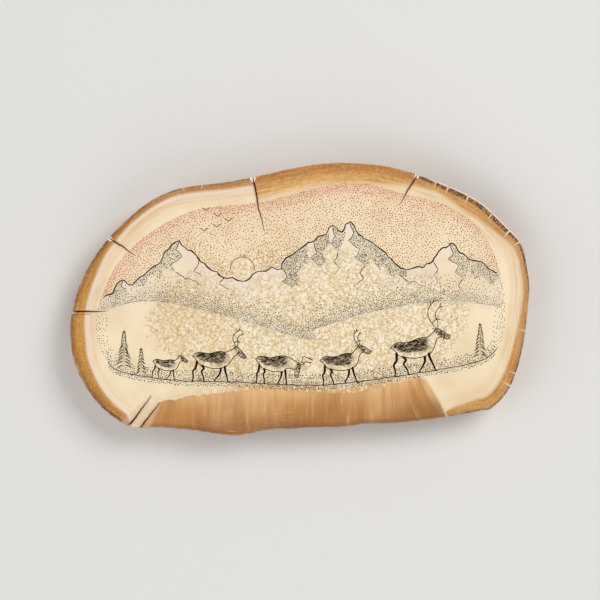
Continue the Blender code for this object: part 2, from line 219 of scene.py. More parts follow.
# The picture's own field, from the left end of the sky over the top and back along the ground
SKY_EDGE = (
    (-0.868, -0.014), (-0.843, 0.096), (-0.812, 0.206), (-0.765, 0.316), (-0.695, 0.426),
    (-0.604, 0.536), (-0.464, 0.646), (-0.325, 0.683), (-0.190, 0.705), (-0.003, 0.778),
    (0.092, 0.822), (0.210, 0.852), (0.314, 0.837), (0.419, 0.786), (0.558, 0.727),
    (0.628, 0.690), (0.697, 0.624), (0.762, 0.551), (0.815, 0.434), (0.845, 0.331),
    (0.871, 0.191),
)
LEFT_BORDER = ((-0.868, -0.014), (-0.884, -0.14), (-0.880, -0.30), (-0.835, -0.46))
RIGHT_BORDER = ((0.871, 0.191), (0.888, 0.04), (0.892, -0.12), (0.886, -0.25), (0.86, -0.36))
RIDGE = (
    (-0.86, 0.00), (-0.77, 0.14), (-0.73, 0.10), (-0.59, 0.34), (-0.525, 0.43),
    (-0.45, 0.32), (-0.36, 0.20), (-0.25, 0.13), (-0.08, 0.22), (0.06, 0.42),
    (0.145, 0.54), (0.18, 0.49), (0.22, 0.57), (0.30, 0.43), (0.43, 0.24), (0.48, 0.22),
    (0.58, 0.28), (0.655, 0.41), (0.74, 0.29), (0.865, 0.19),
)
RIDGE_ROUGHNESS = (0.14, 0.17, 0.15)
LEFT_HILL = ((-0.87, -0.09), (-0.66, -0.01), (-0.36, -0.10), (-0.04, -0.26), (0.06, -0.30))
RIGHT_HILL = ((0.88, -0.06), (0.64, -0.01), (0.31, -0.09), (-0.01, -0.26))
GROUND = (
    (-0.835, -0.46), (-0.78, -0.53), (-0.57, -0.59), (-0.26, -0.61), (0.09, -0.63),
    (0.44, -0.56), (0.77, -0.46), (0.86, -0.36),
)
# Broken edges that run down from the summits, between their lit and their shaded sides
FACETS = (
    ((-0.525, 0.43), (-0.540, 0.36), (-0.512, 0.31), (-0.562, 0.25), (-0.545, 0.20)),
    ((-0.770, 0.14), (-0.775, 0.09), (-0.752, 0.05)),
    ((-0.080, 0.22), (-0.055, 0.17), (-0.078, 0.13), (-0.030, 0.08)),
    ((0.060, 0.42), (0.075, 0.35), (0.050, 0.30), (0.085, 0.23)),
    ((0.145, 0.54), (0.155, 0.46), (0.138, 0.41), (0.168, 0.35)),
    ((0.220, 0.57), (0.236, 0.48), (0.212, 0.43), (0.262, 0.37), (0.243, 0.31), (0.290, 0.25)),
    ((0.655, 0.41), (0.668, 0.34), (0.645, 0.29), (0.692, 0.24), (0.675, 0.20), (0.715, 0.15)),
    ((-0.545, 0.20), (-0.500, 0.15), (-0.470, 0.14), (-0.410, 0.09)),
    ((-0.450, 0.32), (-0.440, 0.26), (-0.462, 0.21), (-0.420, 0.16)),
    ((-0.360, 0.20), (-0.330, 0.15), (-0.350, 0.11), (-0.295, 0.06)),
    ((0.168, 0.35), (0.150, 0.28), (0.172, 0.23), (0.145, 0.17)),
    ((0.290, 0.25), (0.262, 0.19), (0.278, 0.15), (0.225, 0.09)),
    ((0.425, 0.19), (0.470, 0.13), (0.500, 0.13), (0.550, 0.09)),
    ((0.580, 0.28), (0.602, 0.22), (0.585, 0.18), (0.612, 0.13)),
    ((0.715, 0.15), (0.690, 0.10), (0.705, 0.07)),
)
FACET_ROUGHNESS = (0.12, 0.14)
# Shaded sides of the mountains: each starts with the facet of the same number, then runs along a
# jagged foot and back up past the ridge
SHADES = (
    ((-0.595, 0.23), (-0.605, 0.15), (-0.655, 0.18), (-0.675, 0.09), (-0.735, 0.10),
     (-0.76, 0.16), (-0.68, 0.28), (-0.60, 0.42), (-0.53, 0.50)),
    ((-0.785, 0.05), (-0.800, 0.00), (-0.840, 0.02), (-0.86, 0.04), (-0.84, 0.10), (-0.78, 0.20)),
    ((0.000, 0.13), (-0.012, 0.19), (0.035, 0.28), (0.030, 0.42), (-0.04, 0.34)),
    ((0.110, 0.28), (0.100, 0.35), (0.133, 0.41), (0.120, 0.54), (0.07, 0.48)),
    ((0.185, 0.41), (0.198, 0.47), (0.19, 0.54), (0.16, 0.62)),
    ((0.312, 0.31), (0.345, 0.21), (0.368, 0.26), (0.400, 0.16), (0.425, 0.19), (0.462, 0.16),
     (0.47, 0.26), (0.36, 0.42), (0.28, 0.56), (0.23, 0.66)),
    ((0.735, 0.22), (0.765, 0.14), (0.790, 0.18), (0.830, 0.11), (0.86, 0.14), (0.88, 0.24),
     (0.78, 0.34), (0.70, 0.44), (0.66, 0.50)),
)
# Lines beside which the stipple is thickest, from how far below to how far above
STIPPLE_STRIPS = ((LEFT_HILL, 0.0, 2.4), (RIGHT_HILL, 0.0, 2.4), (GROUND, -0.8, 1.5),
                  (SKY_EDGE, -1.8, 0.0))
GROUND_ROUGHNESS = (0.06, 0.08)
HILL_ROUGHNESS = (0.08, 0.10)
GROUND_REACH = 0.85
SUN_PLACE = (-0.25, 0.22)
SUN_ARC = range(-10, 191, 10)
FLOCK_PLACE = (-0.31, 0.57)
# Each goose's place behind the first, and the shape of one, in wing spans
FLOCK = ((0.0, 0.0), (-1.1, 0.5), (-1.2, -0.6), (-2.3, 1.1), (-2.5, -1.0))
GOOSE = ((-0.50, 0.26), (-0.24, 0.22), (0.00, 0.00), (0.24, 0.24), (0.50, 0.28))

# One walking caribou facing +X, in heights of its shoulder
CARIBOU_BODY = (
    (-0.66, 0.80), (-0.73, 0.86), (-0.66, 0.93), (-0.50, 0.99), (-0.18, 0.95), (0.14, 1.03),
    (0.40, 1.02), (0.60, 1.14), (0.70, 1.24), (0.80, 1.20), (0.96, 1.06), (1.08, 0.95),
    (1.04, 0.88), (0.94, 0.89), (0.80, 0.97), (0.66, 0.88), (0.56, 0.68), (0.44, 0.54),
    (0.24, 0.47), (-0.06, 0.45), (-0.36, 0.53), (-0.52, 0.60),
)
CARIBOU_LEGS = (
    ((0.36, 0.56), (0.40, 0.34), (0.46, 0.16), (0.50, 0.00), (0.56, 0.00)),
    ((0.24, 0.48), (0.22, 0.32), (0.12, 0.16), (0.02, 0.05), (0.06, 0.00)),
    ((-0.58, 0.72), (-0.62, 0.46), (-0.72, 0.34), (-0.70, 0.14), (-0.74, 0.02), (-0.68, 0.00)),
    ((-0.42, 0.56), (-0.34, 0.44), (-0.42, 0.33), (-0.34, 0.14), (-0.32, 0.00), (-0.26, 0.00)),
)
CARIBOU_ANTLERS = (
    ((0.00, 0.00), (-0.10, 0.18), (-0.18, 0.42), (-0.10, 0.66), (0.10, 0.82), (0.22, 0.81)),
    ((-0.10, 0.18), (0.06, 0.26), (0.20, 0.22)),
    ((-0.04, 0.72), (-0.04, 0.90)),
    ((0.04, 0.78), (0.10, 0.94)),
    ((0.06, 0.00), (0.08, 0.18), (0.04, 0.40), (0.16, 0.58), (0.32, 0.64)),
    ((0.20, 0.60), (0.26, 0.74)),
)
ANTLER_ROOT = (0.70, 1.24)
NECK_ROOT = (0.36, 0.84)
NECK_REACH = 0.28
CARIBOU_EAR = ((0.70, 1.20), (0.62, 1.25), (0.54, 1.23))
# Dark coat: back and flank; the neck, the rump and the belly stay pale
COAT = (
    (-0.63, 0.91), (-0.50, 0.975), (-0.18, 0.935), (0.14, 1.015), (0.40, 1.00), (0.40, 0.84),
    (0.34, 0.68), (0.10, 0.62), (-0.24, 0.66), (-0.48, 0.74),
)
MASK = (
    (0.66, 1.20), (0.71, 1.23), (0.80, 1.19), (0.96, 1.05), (1.07, 0.95), (1.03, 0.89),
    (0.90, 0.95), (0.78, 1.04),
)
COAT_HAIRS = 210
MASK_HAIRS = 36
HAIR_LENGTH = 0.13
LEG_SHAPE = ((0.0, 1.55), (0.35, 1.15), (0.7, 0.75), (0.9, 0.85), (1.0, 0.6))

# Place along the ground of each animal, its height as a share of the tallest, the size of its
# antlers, the length of its stride and the dip of its head in degrees
HERD = (
    (0.52, 1.00, 1.00, 1.00, 0.0),
    (0.19, 0.86, 0.62, 0.80, -7.0),
    (-0.11, 0.83, 0.55, 0.55, 58.0),
    (-0.375, 0.88, 0.70, 0.95, 5.0),
    (-0.585, 0.58, 0.00, 0.75, -10.0),
)
# Place along the ground and height of each tree, as a share of the tallest
SPRUCES = ((-0.765, 0.90), (-0.69, 0.60), (0.785, 0.80))
SPRUCE_TIERS = 13
SPRUCE_LOWEST = 0.18
SPRUCE_HIGHEST = 0.92
SPRUCE_REACH = 0.20
SPRUCE_DROOP = 0.08
NEEDLES = 5
TUFTS = (-0.66, -0.50, -0.44, -0.27, -0.20, 0.03, 0.08, 0.33, 0.37, 0.64, 0.70)
TUFT_HEIGHT = 0.8
SCRATCHES = 170
HATCHES = 2.6

# The camera's frame: where the slice's middle falls and how wide it is, in pixels
IMAGE_SIDE = 600
PANEL_CENTRE_PX = (299.75, 299.1)
PANEL_WIDTH_PX = 459.7
LENS = 100.0
SENSOR = 36.0

# The floor, in metres
FLOOR_REACH = 1.5
FLOOR_GAP = 0.00005


def on_panel(shares):
    """Points of the face at shares of the half width and the half height"""
    return np.array(shares, float) * HALF_SIZE


def smooth(points, steps, closed=False):
    """Catmull-Rom curve through points, with that many steps to a span"""
    points = np.array(points, float)
    count = len(points)
    curve = []
    for span in range(count if closed else count - 1):
        around = np.arange(span - 1, span + 3)
        around = around % count if closed else np.clip(around, 0, count - 1)
        p, q, r, s = points[around]
        for step in range(steps):
            t = step / steps
            curve.append(0.5 * (2 * q + (r - p) * t + (2 * p - 5 * q + 4 * r - s) * t ** 2
                                + (3 * q - p - 3 * r + s) * t ** 3))
    if not closed:
        curve.append(points[-1])
    return np.array(curve)


def flowing(shares, steps=LINE_STEPS):
    """A smooth line on the face through points at shares of the half width and height"""
    return on_panel(smooth(shares, steps))


def rugged(points, roughnesses, seed):
    """Break every stretch of a line to one side, as rock edges do, once for each roughness"""
    for pass_number, roughness in enumerate(roughnesses):
        draw = random.Random(seed + pass_number)
        line = [points[0]]
        for start, end in zip(points, points[1:]):
            along = draw.uniform(0.38, 0.62)
            push = draw.uniform(-roughness, roughness)
            run = end - start
            line += [start + along * run + push * np.array((-run[1], run[0])), end]
        points = line
    return np.array(points)


def toward(angle):
    """Unit vector at an angle, or one at each of many"""
    return np.stack((np.cos(angle), np.sin(angle)), axis=-1)


def left_of(runs):
    """Unit vectors square to runs, on their left"""
    runs = runs / np.linalg.norm(runs, axis=-1, keepdims=True)
    return np.stack((-runs[..., 1], runs[..., 0]), axis=-1)


def beside(line, way):
    """Points at a way to the left and to the right of each point of a line"""
    closed = np.array_equal(line[0], line[-1])
    padded = np.vstack((line[-2] if closed else line[0], line, line[1] if closed else line[-1]))
    aside = left_of(padded[2:] - padded[:-2]) * np.reshape(way, (-1, 1))
    return line + aside, line - aside


def turned(points, centre, angle):
    """Points turned about a centre, by one angle or by one for each"""
    x, y = (np.array(points, float) - centre).T
    cos, sin = np.cos(angle), np.sin(angle)
    return np.stack((centre[0] + x * cos - y * sin, centre[1] + x * sin + y * cos), axis=1)


def within(spots, loop):
    """Whether each spot lies inside a closed loop"""
    x, y = spots.T
    found = np.zeros(len(spots), bool)
    for (ax, ay), (bx, by) in zip(loop, np.roll(loop, 1, axis=0)):
        if ay == by:
            continue
        crosses = (ay > y) != (by > y)
        found ^= crosses & (x < ax + (y - ay) * (bx - ax) / (by - ay))
    return found


def way_to(spots, line):
    """Shortest way from each spot to a line of points"""
    best = np.full(len(spots), np.inf)
    for start, end in zip(line[:-1], line[1:]):
        run = end - start
        along = np.clip((spots - start) @ run / (run @ run), 0.0, 1.0)
        best = np.minimum(best, np.hypot(*(spots - start - along[:, None] * run).T))
    return best


def fade(values, start, end):
    """Smooth change from 0 at the start to 1 at the end"""
    t = np.clip((values - start) / (end - start), 0.0, 1.0)
    return t * t * (3 - 2 * t)


def patches(spots):
    """Soft uneven patches between 0 and 1, as a hand leaves when it stipples"""
    x, y = spots.T
    first = np.sin(1.9 * x + 1.1 * np.sin(1.3 * y))
    second = np.sin(2.3 * y - 1.7 * x + np.sin(0.9 * x))
    return 0.5 + 0.25 * first + 0.25 * second


class Rim:
    """The outline as a closed curve that is read by the way along it"""

    def __init__(self):
        curve = smooth(OUTLINE, RIM_STEPS, closed=True)
        low, high = curve.min(0), curve.max(0)
        self.spots = (curve - (low + high) / 2) / (high - low) * (WIDTH, HEIGHT)
        after = np.roll(self.spots, -1, axis=0)
        steps = np.linalg.norm(after - self.spots, axis=1)
        self.ways = np.concatenate(((0.0,), np.cumsum(steps)[:-1]))
        self.length = steps.sum()
        self.inwards = left_of(after - np.roll(self.spots, 1, axis=0))

    def read(self, table, way):
        """Values of a table of points at a way along the rim"""
        return np.stack([np.interp(way, self.ways, column, period=self.length)
                         for column in table.T], axis=-1)

    def at(self, way):
        """Point of the rim"""
        return self.read(self.spots, way)

    def inward(self, way):
        """Direction into the slice at a point of the rim"""
        inward = self.read(self.inwards, way)
        return inward / np.linalg.norm(inward)

    def way_at(self, bearing):
        """Way along the rim to a bearing in degrees"""
        ways = np.arange(0, self.length, WAY_STEP)
        return ways[bearing_gap(self.at(ways), math.radians(bearing)).argmin()]


def bearings(spots):
    """Bearing of each spot from the middle of the slice"""
    return np.arctan2(spots[:, 1], spots[:, 0])


def bearing_gap(spots, bearing):
    """Angle between each spot's bearing and another, never more than half a turn"""
    return np.abs((bearings(spots) - bearing + math.pi) % math.tau - math.pi)


def front_round(spots):
    """Width of the rounding of the front edge at points of the rim"""
    gap = np.clip(bearing_gap(spots, WORN_BEARING) / WORN_SPREAD, 0, 1)
    return FRONT_ROUND + (WORN_ROUND - FRONT_ROUND) * np.sqrt(np.cos(gap * math.pi / 2))


class Notch:
    """A V cut over the front edge that narrows and rises to nothing inwards"""

    def __init__(self, way, mouth, inward, width, reach, depth):
        self.way, self.mouth, self.inward = way, mouth, inward
        self.half, self.reach, self.depth = width / 2, reach, depth

    def depths(self, spots):
        """How deep the cut is at each spot"""
        offset = spots - self.mouth
        aside = np.abs(offset @ left_of(self.inward))
        left = np.clip(1 - offset @ self.inward / self.reach, 0, 1)
        edge = (self.reach - FRONT_ROUND) / self.reach
        room = self.half * np.clip(left / edge, 1e-9, 1)
        return self.depth * left * np.clip(1 - aside / room, 0, 1)


class Crack:
    """One drying crack: its middle line and its half width along it"""

    def __init__(self, rim, shape, bends, draw):
        bearing, heading, self.length, self.width, self.chip = shape
        self.way = rim.way_at(bearing)
        self.mouth = rim.at(self.way)
        self.ahead = toward(math.radians(heading))
        self.aside = left_of(self.ahead)
        count = round((self.length - CRACK_START) / CRACK_STEP)
        reaches = np.linspace(CRACK_START, self.length, count + 1)
        bend = np.interp(reaches, np.linspace(-CRACK_OVERRUN, self.length, len(bends)), bends)
        bend += [draw.uniform(-CRACK_JITTER, CRACK_JITTER) for _ in reaches]
        self.middle = self.mouth + reaches[:, None] * self.ahead + bend[:, None] * self.aside
        left = 1 - reaches / self.length
        uneven = np.array([draw.uniform(0.75, 1.1) for _ in reaches])
        self.halves = CRACK_TIP / 2 + (self.width - CRACK_TIP) / 2 * left ** 0.6 * uneven
        self.line = np.vstack((self.mouth, self.middle))


def make_cracks(rim):
    """Every crack, with the solid's own bends"""
    bend_draw, draw = random.Random(11), random.Random(12)
    cracks = []
    for shape in CRACKS:
        bends = [bend_draw.uniform(-CRACK_BEND, CRACK_BEND) for _ in range(CRACK_BEND_STEPS + 1)]
        cracks.append(Crack(rim, shape, bends, draw))
    return cracks


def clear_of(spots, cracks, room):
    """Whether each spot keeps that much room from the cracks"""
    return np.all([way_to(spots, crack.line) > crack.width / 2 + room for crack in cracks], axis=0)


def make_notches(rim, cracks):
    """The chips at the mouths of cracks, and the nicks along the edge"""
    chips = [Notch(crack.way, crack.mouth, crack.ahead, crack.chip, CRACK_START, CHIP_DEPTH)
             for crack in cracks if crack.chip]
    nicks = []
    for bearing, size in NICKS:
        way = rim.way_at(bearing)
        mouth = rim.at(way)
        depth = front_round(mouth[None])[0] + NICK_DEPTH * size
        width, reach = NICK_WIDTH * size, NICK_REACH * size
        nicks.append(Notch(way, mouth, rim.inward(way), width, reach, depth))
    return chips, nicks


def make_stations(rim, cracks, nicks):
    """Every corner around the slice, counter-clockwise, with the cracks' sides

    Gives their places, the directions in which the rings move in there, how far each moves over
    from the face to the back, and whether each lies on a crack's side.
    """
    still = np.zeros(2)
    groups, taken = [], []

    def on_rim(way):
        return rim.at(way), rim.inward(way), still, False

    for crack in cracks:
        half = crack.chip / 2
        sides = []
        for sign in (-1, 1):
            lip = rim.at(crack.way + sign * crack.width / 2)
            side = [(lip, crack.ahead, CRACK_PINCH * (crack.mouth - lip), True)]
            for spot, wide in zip(crack.middle[:-1], crack.halves):
                aside = sign * crack.aside * wide
                side.append((spot - aside, still, CRACK_PINCH * aside, True))
            if half:
                side.insert(0, on_rim(crack.way + sign * half))
            sides.append(side)
        tip = [(crack.middle[-1], still, still, True)]
        groups.append((crack.way, sides[0] + tip + sides[1][::-1]))
        taken.append((crack.way, max(half, crack.width / 2)))
    for nick in nicks:
        shifts = (-nick.half, 0.0, nick.half)
        groups.append((nick.way, [on_rim(nick.way + shift) for shift in shifts]))
        taken.append((nick.way, nick.half))
    for way in rim.ways:
        gaps = [abs((way - middle + rim.length / 2) % rim.length - rim.length / 2) - half
                for middle, half in taken]
        if min(gaps) > RIM_CLEARANCE:
            groups.append((way, [on_rim(way)]))
    groups.sort(key=lambda group: group[0])
    corners = [corner for _, group in groups for corner in group]
    return [np.array(column) for column in zip(*corners)]


def ring_levels(spots):
    """Inset and height of each ring of the wall, from the back up"""
    yield WALL_TAPER + BACK_BEVEL, 0.0
    yield WALL_TAPER, BACK_BEVEL
    for height in WALL_HEIGHTS:
        share = (height - BACK_BEVEL) / (THICKNESS - WORN_ROUND - BACK_BEVEL)
        yield WALL_TAPER * (1 - share), height
    rounds = front_round(spots)
    for turn in np.linspace(0, math.pi / 2, ROUND_STEPS + 1):
        yield rounds * (1 - np.cos(turn)), THICKNESS - rounds * (1 - np.sin(turn))


def stroke(points, width, ink, closed=False):
    """An engraved line: its points, its width at each and its ink, thin at open ends"""
    line = np.array(points, float)
    if closed:
        line = np.vstack((line, line[:1]))
    widths = np.ones(len(line)) * width
    if not closed:
        widths[[0, -1]] = 0.0
    return line, widths, ink


def wedge(start, run, width, ink):
    """A short cut, blunt where it starts and pointed where it ends"""
    return np.array((start, start + run)), np.array((width, 0.0)), ink


def clear_runs(strokes, field, cracks):
    """The stretches of the strokes inside the drawing's field and clear of the cracks"""
    kept = []
    for line, widths, ink in strokes:
        clear = within(line, field) & clear_of(line, cracks, LINE_WIDTH / 2 + CRACK_CLEARANCE)
        for run in np.split(np.arange(len(line)), np.flatnonzero(np.diff(clear)) + 1):
            if clear[run[0]] and len(run) > 1:
                kept.append((line[run], widths[run], ink))
    return kept


def ridge_line():
    """The far ridge, broken as the solid's is and then finer"""
    return rugged(on_panel(RIDGE), RIDGE_ROUGHNESS, seed=4)


def facet_line(number):
    """One broken edge below a summit"""
    return rugged(on_panel(FACETS[number]), FACET_ROUGHNESS, seed=20 + 2 * number)


def shade_loops():
    """The shaded sides of the mountains as closed loops that run out past the ridge"""
    return [np.vstack((facet_line(number), on_panel(spread)))
            for number, spread in enumerate(SHADES)]


def ground_line():
    """The line that the herd walks on"""
    return flowing(GROUND)


def landscape_strokes():
    """The far ridge, its facets, two hills and the ground line"""
    ridge = ridge_line()
    strokes = [stroke(ridge, LINE_WIDTH * (0.9 + 0.9 * patches(ridge)), DARK_INK)]
    for number in range(len(FACETS)):
        edge = facet_line(number)
        widths = HAIR_WIDTH * np.linspace(1.4, 0.6, len(edge))
        strokes.append(stroke(edge, widths, SLATE_INK if number % 3 == 1 else DARK_INK))
    draw = random.Random(70)
    for crest in (LEFT_HILL, RIGHT_HILL):
        line = rugged(flowing(crest), HILL_ROUGHNESS, seed=71)
        widths = [HAIR_WIDTH * max(0.15, draw.uniform(-0.6, 1.2)) for _ in line]
        strokes.append(stroke(line, widths, GREY_INK))
    ground = rugged(ground_line(), GROUND_ROUGHNESS, seed=60)
    strokes.append(stroke(ground, FINE_WIDTH, DARK_INK))
    return strokes


def sky_strokes():
    """A low sun and a flock of geese"""
    arc = on_panel(SUN_PLACE) + SUN_RADIUS * toward(np.radians(SUN_ARC))
    strokes = [stroke(arc, FINE_WIDTH, BROWN_INK)]
    for behind in FLOCK:
        bird = on_panel(FLOCK_PLACE) + GOOSE_SPAN * (np.array(behind) + GOOSE)
        strokes.append(stroke(smooth(bird, 2), FINE_WIDTH, DARK_INK))
    return strokes


def ground_at(share):
    """Point of the ground line at a place along the panel, and the line's slope there"""
    line = ground_line()
    x = share * HALF_SIZE[0]
    after = int(np.searchsorted(line[:, 0], x))
    run = line[after] - line[after - 1]
    slope = run[1] / run[0]
    return np.array((x, line[after - 1][1] + slope * (x - line[after - 1][0]))), math.atan(slope)


def spot_in(draw, low, high):
    """A spot drawn by chance between two corners"""
    return np.array([draw.uniform(*span) for span in zip(low, high)])


class Caribou:
    """One animal standing on the ground line"""

    def __init__(self, share, size, antlers, stride, dip):
        self.foot, self.slope = ground_at(share)
        self.size, self.antlers, self.stride, self.dip = size, antlers, stride, math.radians(dip)

    def standing(self, points):
        """Points of the animal on the panel's face"""
        return self.foot + HERD_HEIGHT * self.size * turned(points, (0.0, 0.0), self.slope)

    def posed(self, points):
        """The same, with what lies beyond the root of the neck turned with the head"""
        bend = np.clip((np.array(points)[:, 0] - NECK_ROOT[0]) / NECK_REACH, 0.0, 1.0)
        return self.standing(turned(points, NECK_ROOT, -self.dip * bend))

    def patch(self, points):
        """A closed part of the body on the panel's face"""
        return smooth(self.posed(points), FIGURE_STEPS, closed=True)

    def hairs(self, draw):
        """Short cuts of the dark coat, along the body and leaning back"""
        strokes = []
        for patch, count, lean in ((COAT, COAT_HAIRS, 0.0), (MASK, MASK_HAIRS, 0.5)):
            loop = np.array(patch)
            low, high = loop.min(0), loop.max(0)
            made = 0
            while made < count * self.size ** 2:
                spot = spot_in(draw, low, high)
                depth = (high[1] - spot[1]) / (high[1] - low[1])
                if not within(spot[None], loop)[0] or draw.random() < 0.6 * depth:
                    continue
                angle = math.pi + lean + draw.uniform(-0.1, 0.5)
                reach = HAIR_LENGTH * draw.uniform(0.7, 1.3)
                start, end = self.posed((spot, spot + reach * toward(angle)))
                strokes.append(wedge(start, end - start, HAIR_WIDTH, DARK_INK))
                made += 1
        return strokes

    def strokes(self, draw):
        """Outline, legs, ear, antlers and coat"""
        strokes = [stroke(self.patch(CARIBOU_BODY), FINE_WIDTH, DARK_INK, closed=True)]
        for leg in CARIBOU_LEGS:
            hip = leg[0][0]
            step = self.standing([(hip + (x - hip) * self.stride, y) for x, y in leg])
            step = smooth(step, FIGURE_STEPS)
            shape = np.interp(np.linspace(0, 1, len(step)), *np.transpose(LEG_SHAPE))
            strokes.append(stroke(step, LEG_WIDTH * self.size * shape, DARK_INK))
        strokes.append(stroke(self.posed(CARIBOU_EAR), LINE_WIDTH, DARK_INK))
        for branch in CARIBOU_ANTLERS if self.antlers else ():
            horn = self.posed(np.array(ANTLER_ROOT) + self.antlers * np.array(branch))
            strokes.append(stroke(smooth(horn, FIGURE_STEPS), LINE_WIDTH * 0.9, DARK_INK))
        return strokes + self.hairs(draw)


def spruce_strokes(share, size, draw):
    """A narrow tree: a trunk and drooping branches with needles, shorter towards the top"""
    foot = ground_at(share)[0]
    height = SPRUCE_HEIGHT * size
    up = np.array((0.0, 1.0))
    trunk = [foot + up * height * part for part in (0.0, 0.5, 1.0)]
    strokes = [stroke(trunk, LINE_WIDTH, DARK_INK)]
    tiers = round(SPRUCE_TIERS * size)
    for tier in range(tiers):
        level = SPRUCE_LOWEST + (SPRUCE_HIGHEST - SPRUCE_LOWEST) * tier / (tiers - 1)
        droop = height * SPRUCE_DROOP
        for side in (-1, 1):
            root = foot + up * height * (level + draw.uniform(-0.012, 0.012))
            reach = height * SPRUCE_REACH * (1 + SPRUCE_DROOP - level) * draw.uniform(0.75, 1.1)
            branch = smooth([root + (side * FINE_WIDTH, 0.0),
                             root + (side * reach / 2, -droop / 3),
                             root + (side * reach, -droop)], 2)
            strokes.append(stroke(branch, FINE_WIDTH, DARK_INK))
            for along in np.linspace(0.1, 0.95, NEEDLES):
                spot = branch[0] + along * (branch[-1] - branch[0])
                drop = np.array((side * draw.uniform(0.0, 0.15), -draw.uniform(0.3, 0.5)))
                strokes.append(wedge(spot, drop, HAIR_WIDTH, DARK_INK))
    return strokes


def tuft_strokes(share, draw):
    """A few blades of grass on the ground line"""
    foot = ground_at(share)[0]
    strokes = []
    for lean in (-0.45, -0.15, 0.2, 0.5):
        tip = TUFT_HEIGHT * draw.uniform(0.6, 1.1) * np.array((lean, 1.0))
        bow = np.array((-lean * 0.12, 0.0))
        base = foot + (lean * 0.4, 0.0)
        strokes.append(stroke([base, base + tip / 2 + bow, base + tip], HAIR_WIDTH, BROWN_INK))
    return strokes


def hatch_strokes(draw):
    """Short cuts down the shaded slopes"""
    starts, runs, inks = [], [], []
    for loop in shade_loops():
        low, high = loop.min(0), loop.max(0)
        outward = np.sign(loop[len(loop) // 2, 0] - loop[0, 0])
        for _ in range(int(np.prod(high - low) * HATCHES)):
            starts.append(spot_in(draw, low, high))
            slant = np.array((outward * draw.uniform(0.2, 0.7), -0.8))
            runs.append(draw.uniform(0.35, 0.85) * slant)
            inks.append(draw.choice((DARK_INK, SLATE_INK)))
    starts, runs = np.array(starts), np.array(runs)
    inside = areas(starts).dark & areas(starts + runs).dark
    cuts = zip(starts[inside], runs[inside], np.array(inks)[inside])
    return [wedge(start, run, HAIR_WIDTH, ink) for start, run, ink in cuts]


def scratch_strokes(draw):
    """Short flat cuts that roughen the ground"""
    strokes = []
    for _ in range(SCRATCHES):
        foot, slope = ground_at(draw.uniform(-0.80, 0.83))
        angle = slope + draw.uniform(-0.25, 0.25)
        run = draw.uniform(0.4, 0.9) * toward(angle)
        start = foot + (0.0, draw.triangular(-0.65, 1.1, -0.1))
        strokes.append(wedge(start, run, HAIR_WIDTH, draw.choice((DARK_INK, BROWN_INK, GREY_INK))))
    return strokes


def picture_strokes(herd):
    """Every engraved line of the picture"""
    draw = random.Random(31)
    strokes = landscape_strokes() + sky_strokes() + hatch_strokes(draw) + scratch_strokes(draw)
    for animal in herd:
        strokes += animal.strokes(draw)
    for tree in SPRUCES:
        strokes += spruce_strokes(*tree, draw)
    for share in TUFTS:
        strokes += tuft_strokes(share, draw)
    return strokes


class Grooves:
    """All the engraved lines, to ask how deep they cut and how far away they are"""

    def __init__(self, strokes):
        pieces = [(line[i], line[i + 1], widths[i] / 2, widths[i + 1] / 2, ink)
                  for line, widths, ink in strokes for i in range(len(line) - 1)]
        self.pieces = [piece for piece in pieces if not np.array_equal(piece[0], piece[1])]

    def read(self, spots, room):
        """How far inside the nearest groove's lips each spot is, at least -room, and its ink"""
        order = np.argsort(spots[:, 0])
        sorted_spots = spots[order]
        columns = sorted_spots[:, 0]
        inner = np.full(len(spots), -room)
        inks = np.zeros(len(spots), int)
        for start, end, first, second, ink in self.pieces:
            reach = max(first, second) + room
            low = np.searchsorted(columns, min(start[0], end[0]) - reach)
            high = np.searchsorted(columns, max(start[0], end[0]) + reach)
            if low == high:
                continue
            offset = sorted_spots[low:high] - start
            run = end - start
            along = np.clip(offset @ run / (run @ run), 0.0, 1.0)
            away = np.hypot(*(offset - along[:, None] * run).T)
            depth = first + along * (second - first) - away
            better = depth > inner[low:high]
            inner[low:high][better] = depth[better]
            inks[low:high][better] = ink
        found, colours = np.empty(len(spots)), np.empty(len(spots), int)
        found[order], colours[order] = inner, inks
        return found, colours


def sky_edge():
    """The line where the sky ends below the rind"""
    return flowing(SKY_EDGE, BORDER_STEPS)


def sky_loop():
    """The sky as a closed loop, over its edge and back along the ridge"""
    return np.vstack((sky_edge(), ridge_line()[::-1]))


def field_loop():
    """The whole picture as a closed loop"""
    left, right = flowing(LEFT_BORDER, BORDER_STEPS), flowing(RIGHT_BORDER, BORDER_STEPS)
    return np.vstack((sky_edge(), right, ground_line()[::-1], left[::-1]))


def above(spots, line):
    """How far each spot lies above a line from side to side, far below it beyond its ends"""
    line = line[np.argsort(line[:, 0])]
    height = np.interp(spots[:, 0], line[:, 0], line[:, 1], left=HEIGHT, right=HEIGHT)
    return spots[:, 1] - height


def areas(spots):
    """Where each spot lies in the picture

    Gives whether it is sky, land, a shaded side or within the ground line's reach, its way to
    the sky's edge, and how far it lies above each hill and above the ground.
    """
    sky = within(spots, sky_loop())
    land = within(spots, field_loop()) & ~sky
    return SimpleNamespace(
        sky=sky,
        land=land,
        dark=land & np.any([within(spots, loop) for loop in shade_loops()], axis=0),
        beside_ground=np.abs(spots[:, 0]) < GROUND_REACH * HALF_SIZE[0],
        edge_way=way_to(spots, sky_edge()),
        hill_rises=[above(spots, flowing(crest)) for crest in (LEFT_HILL, RIGHT_HILL)],
        rise=above(spots, ground_line()),
    )


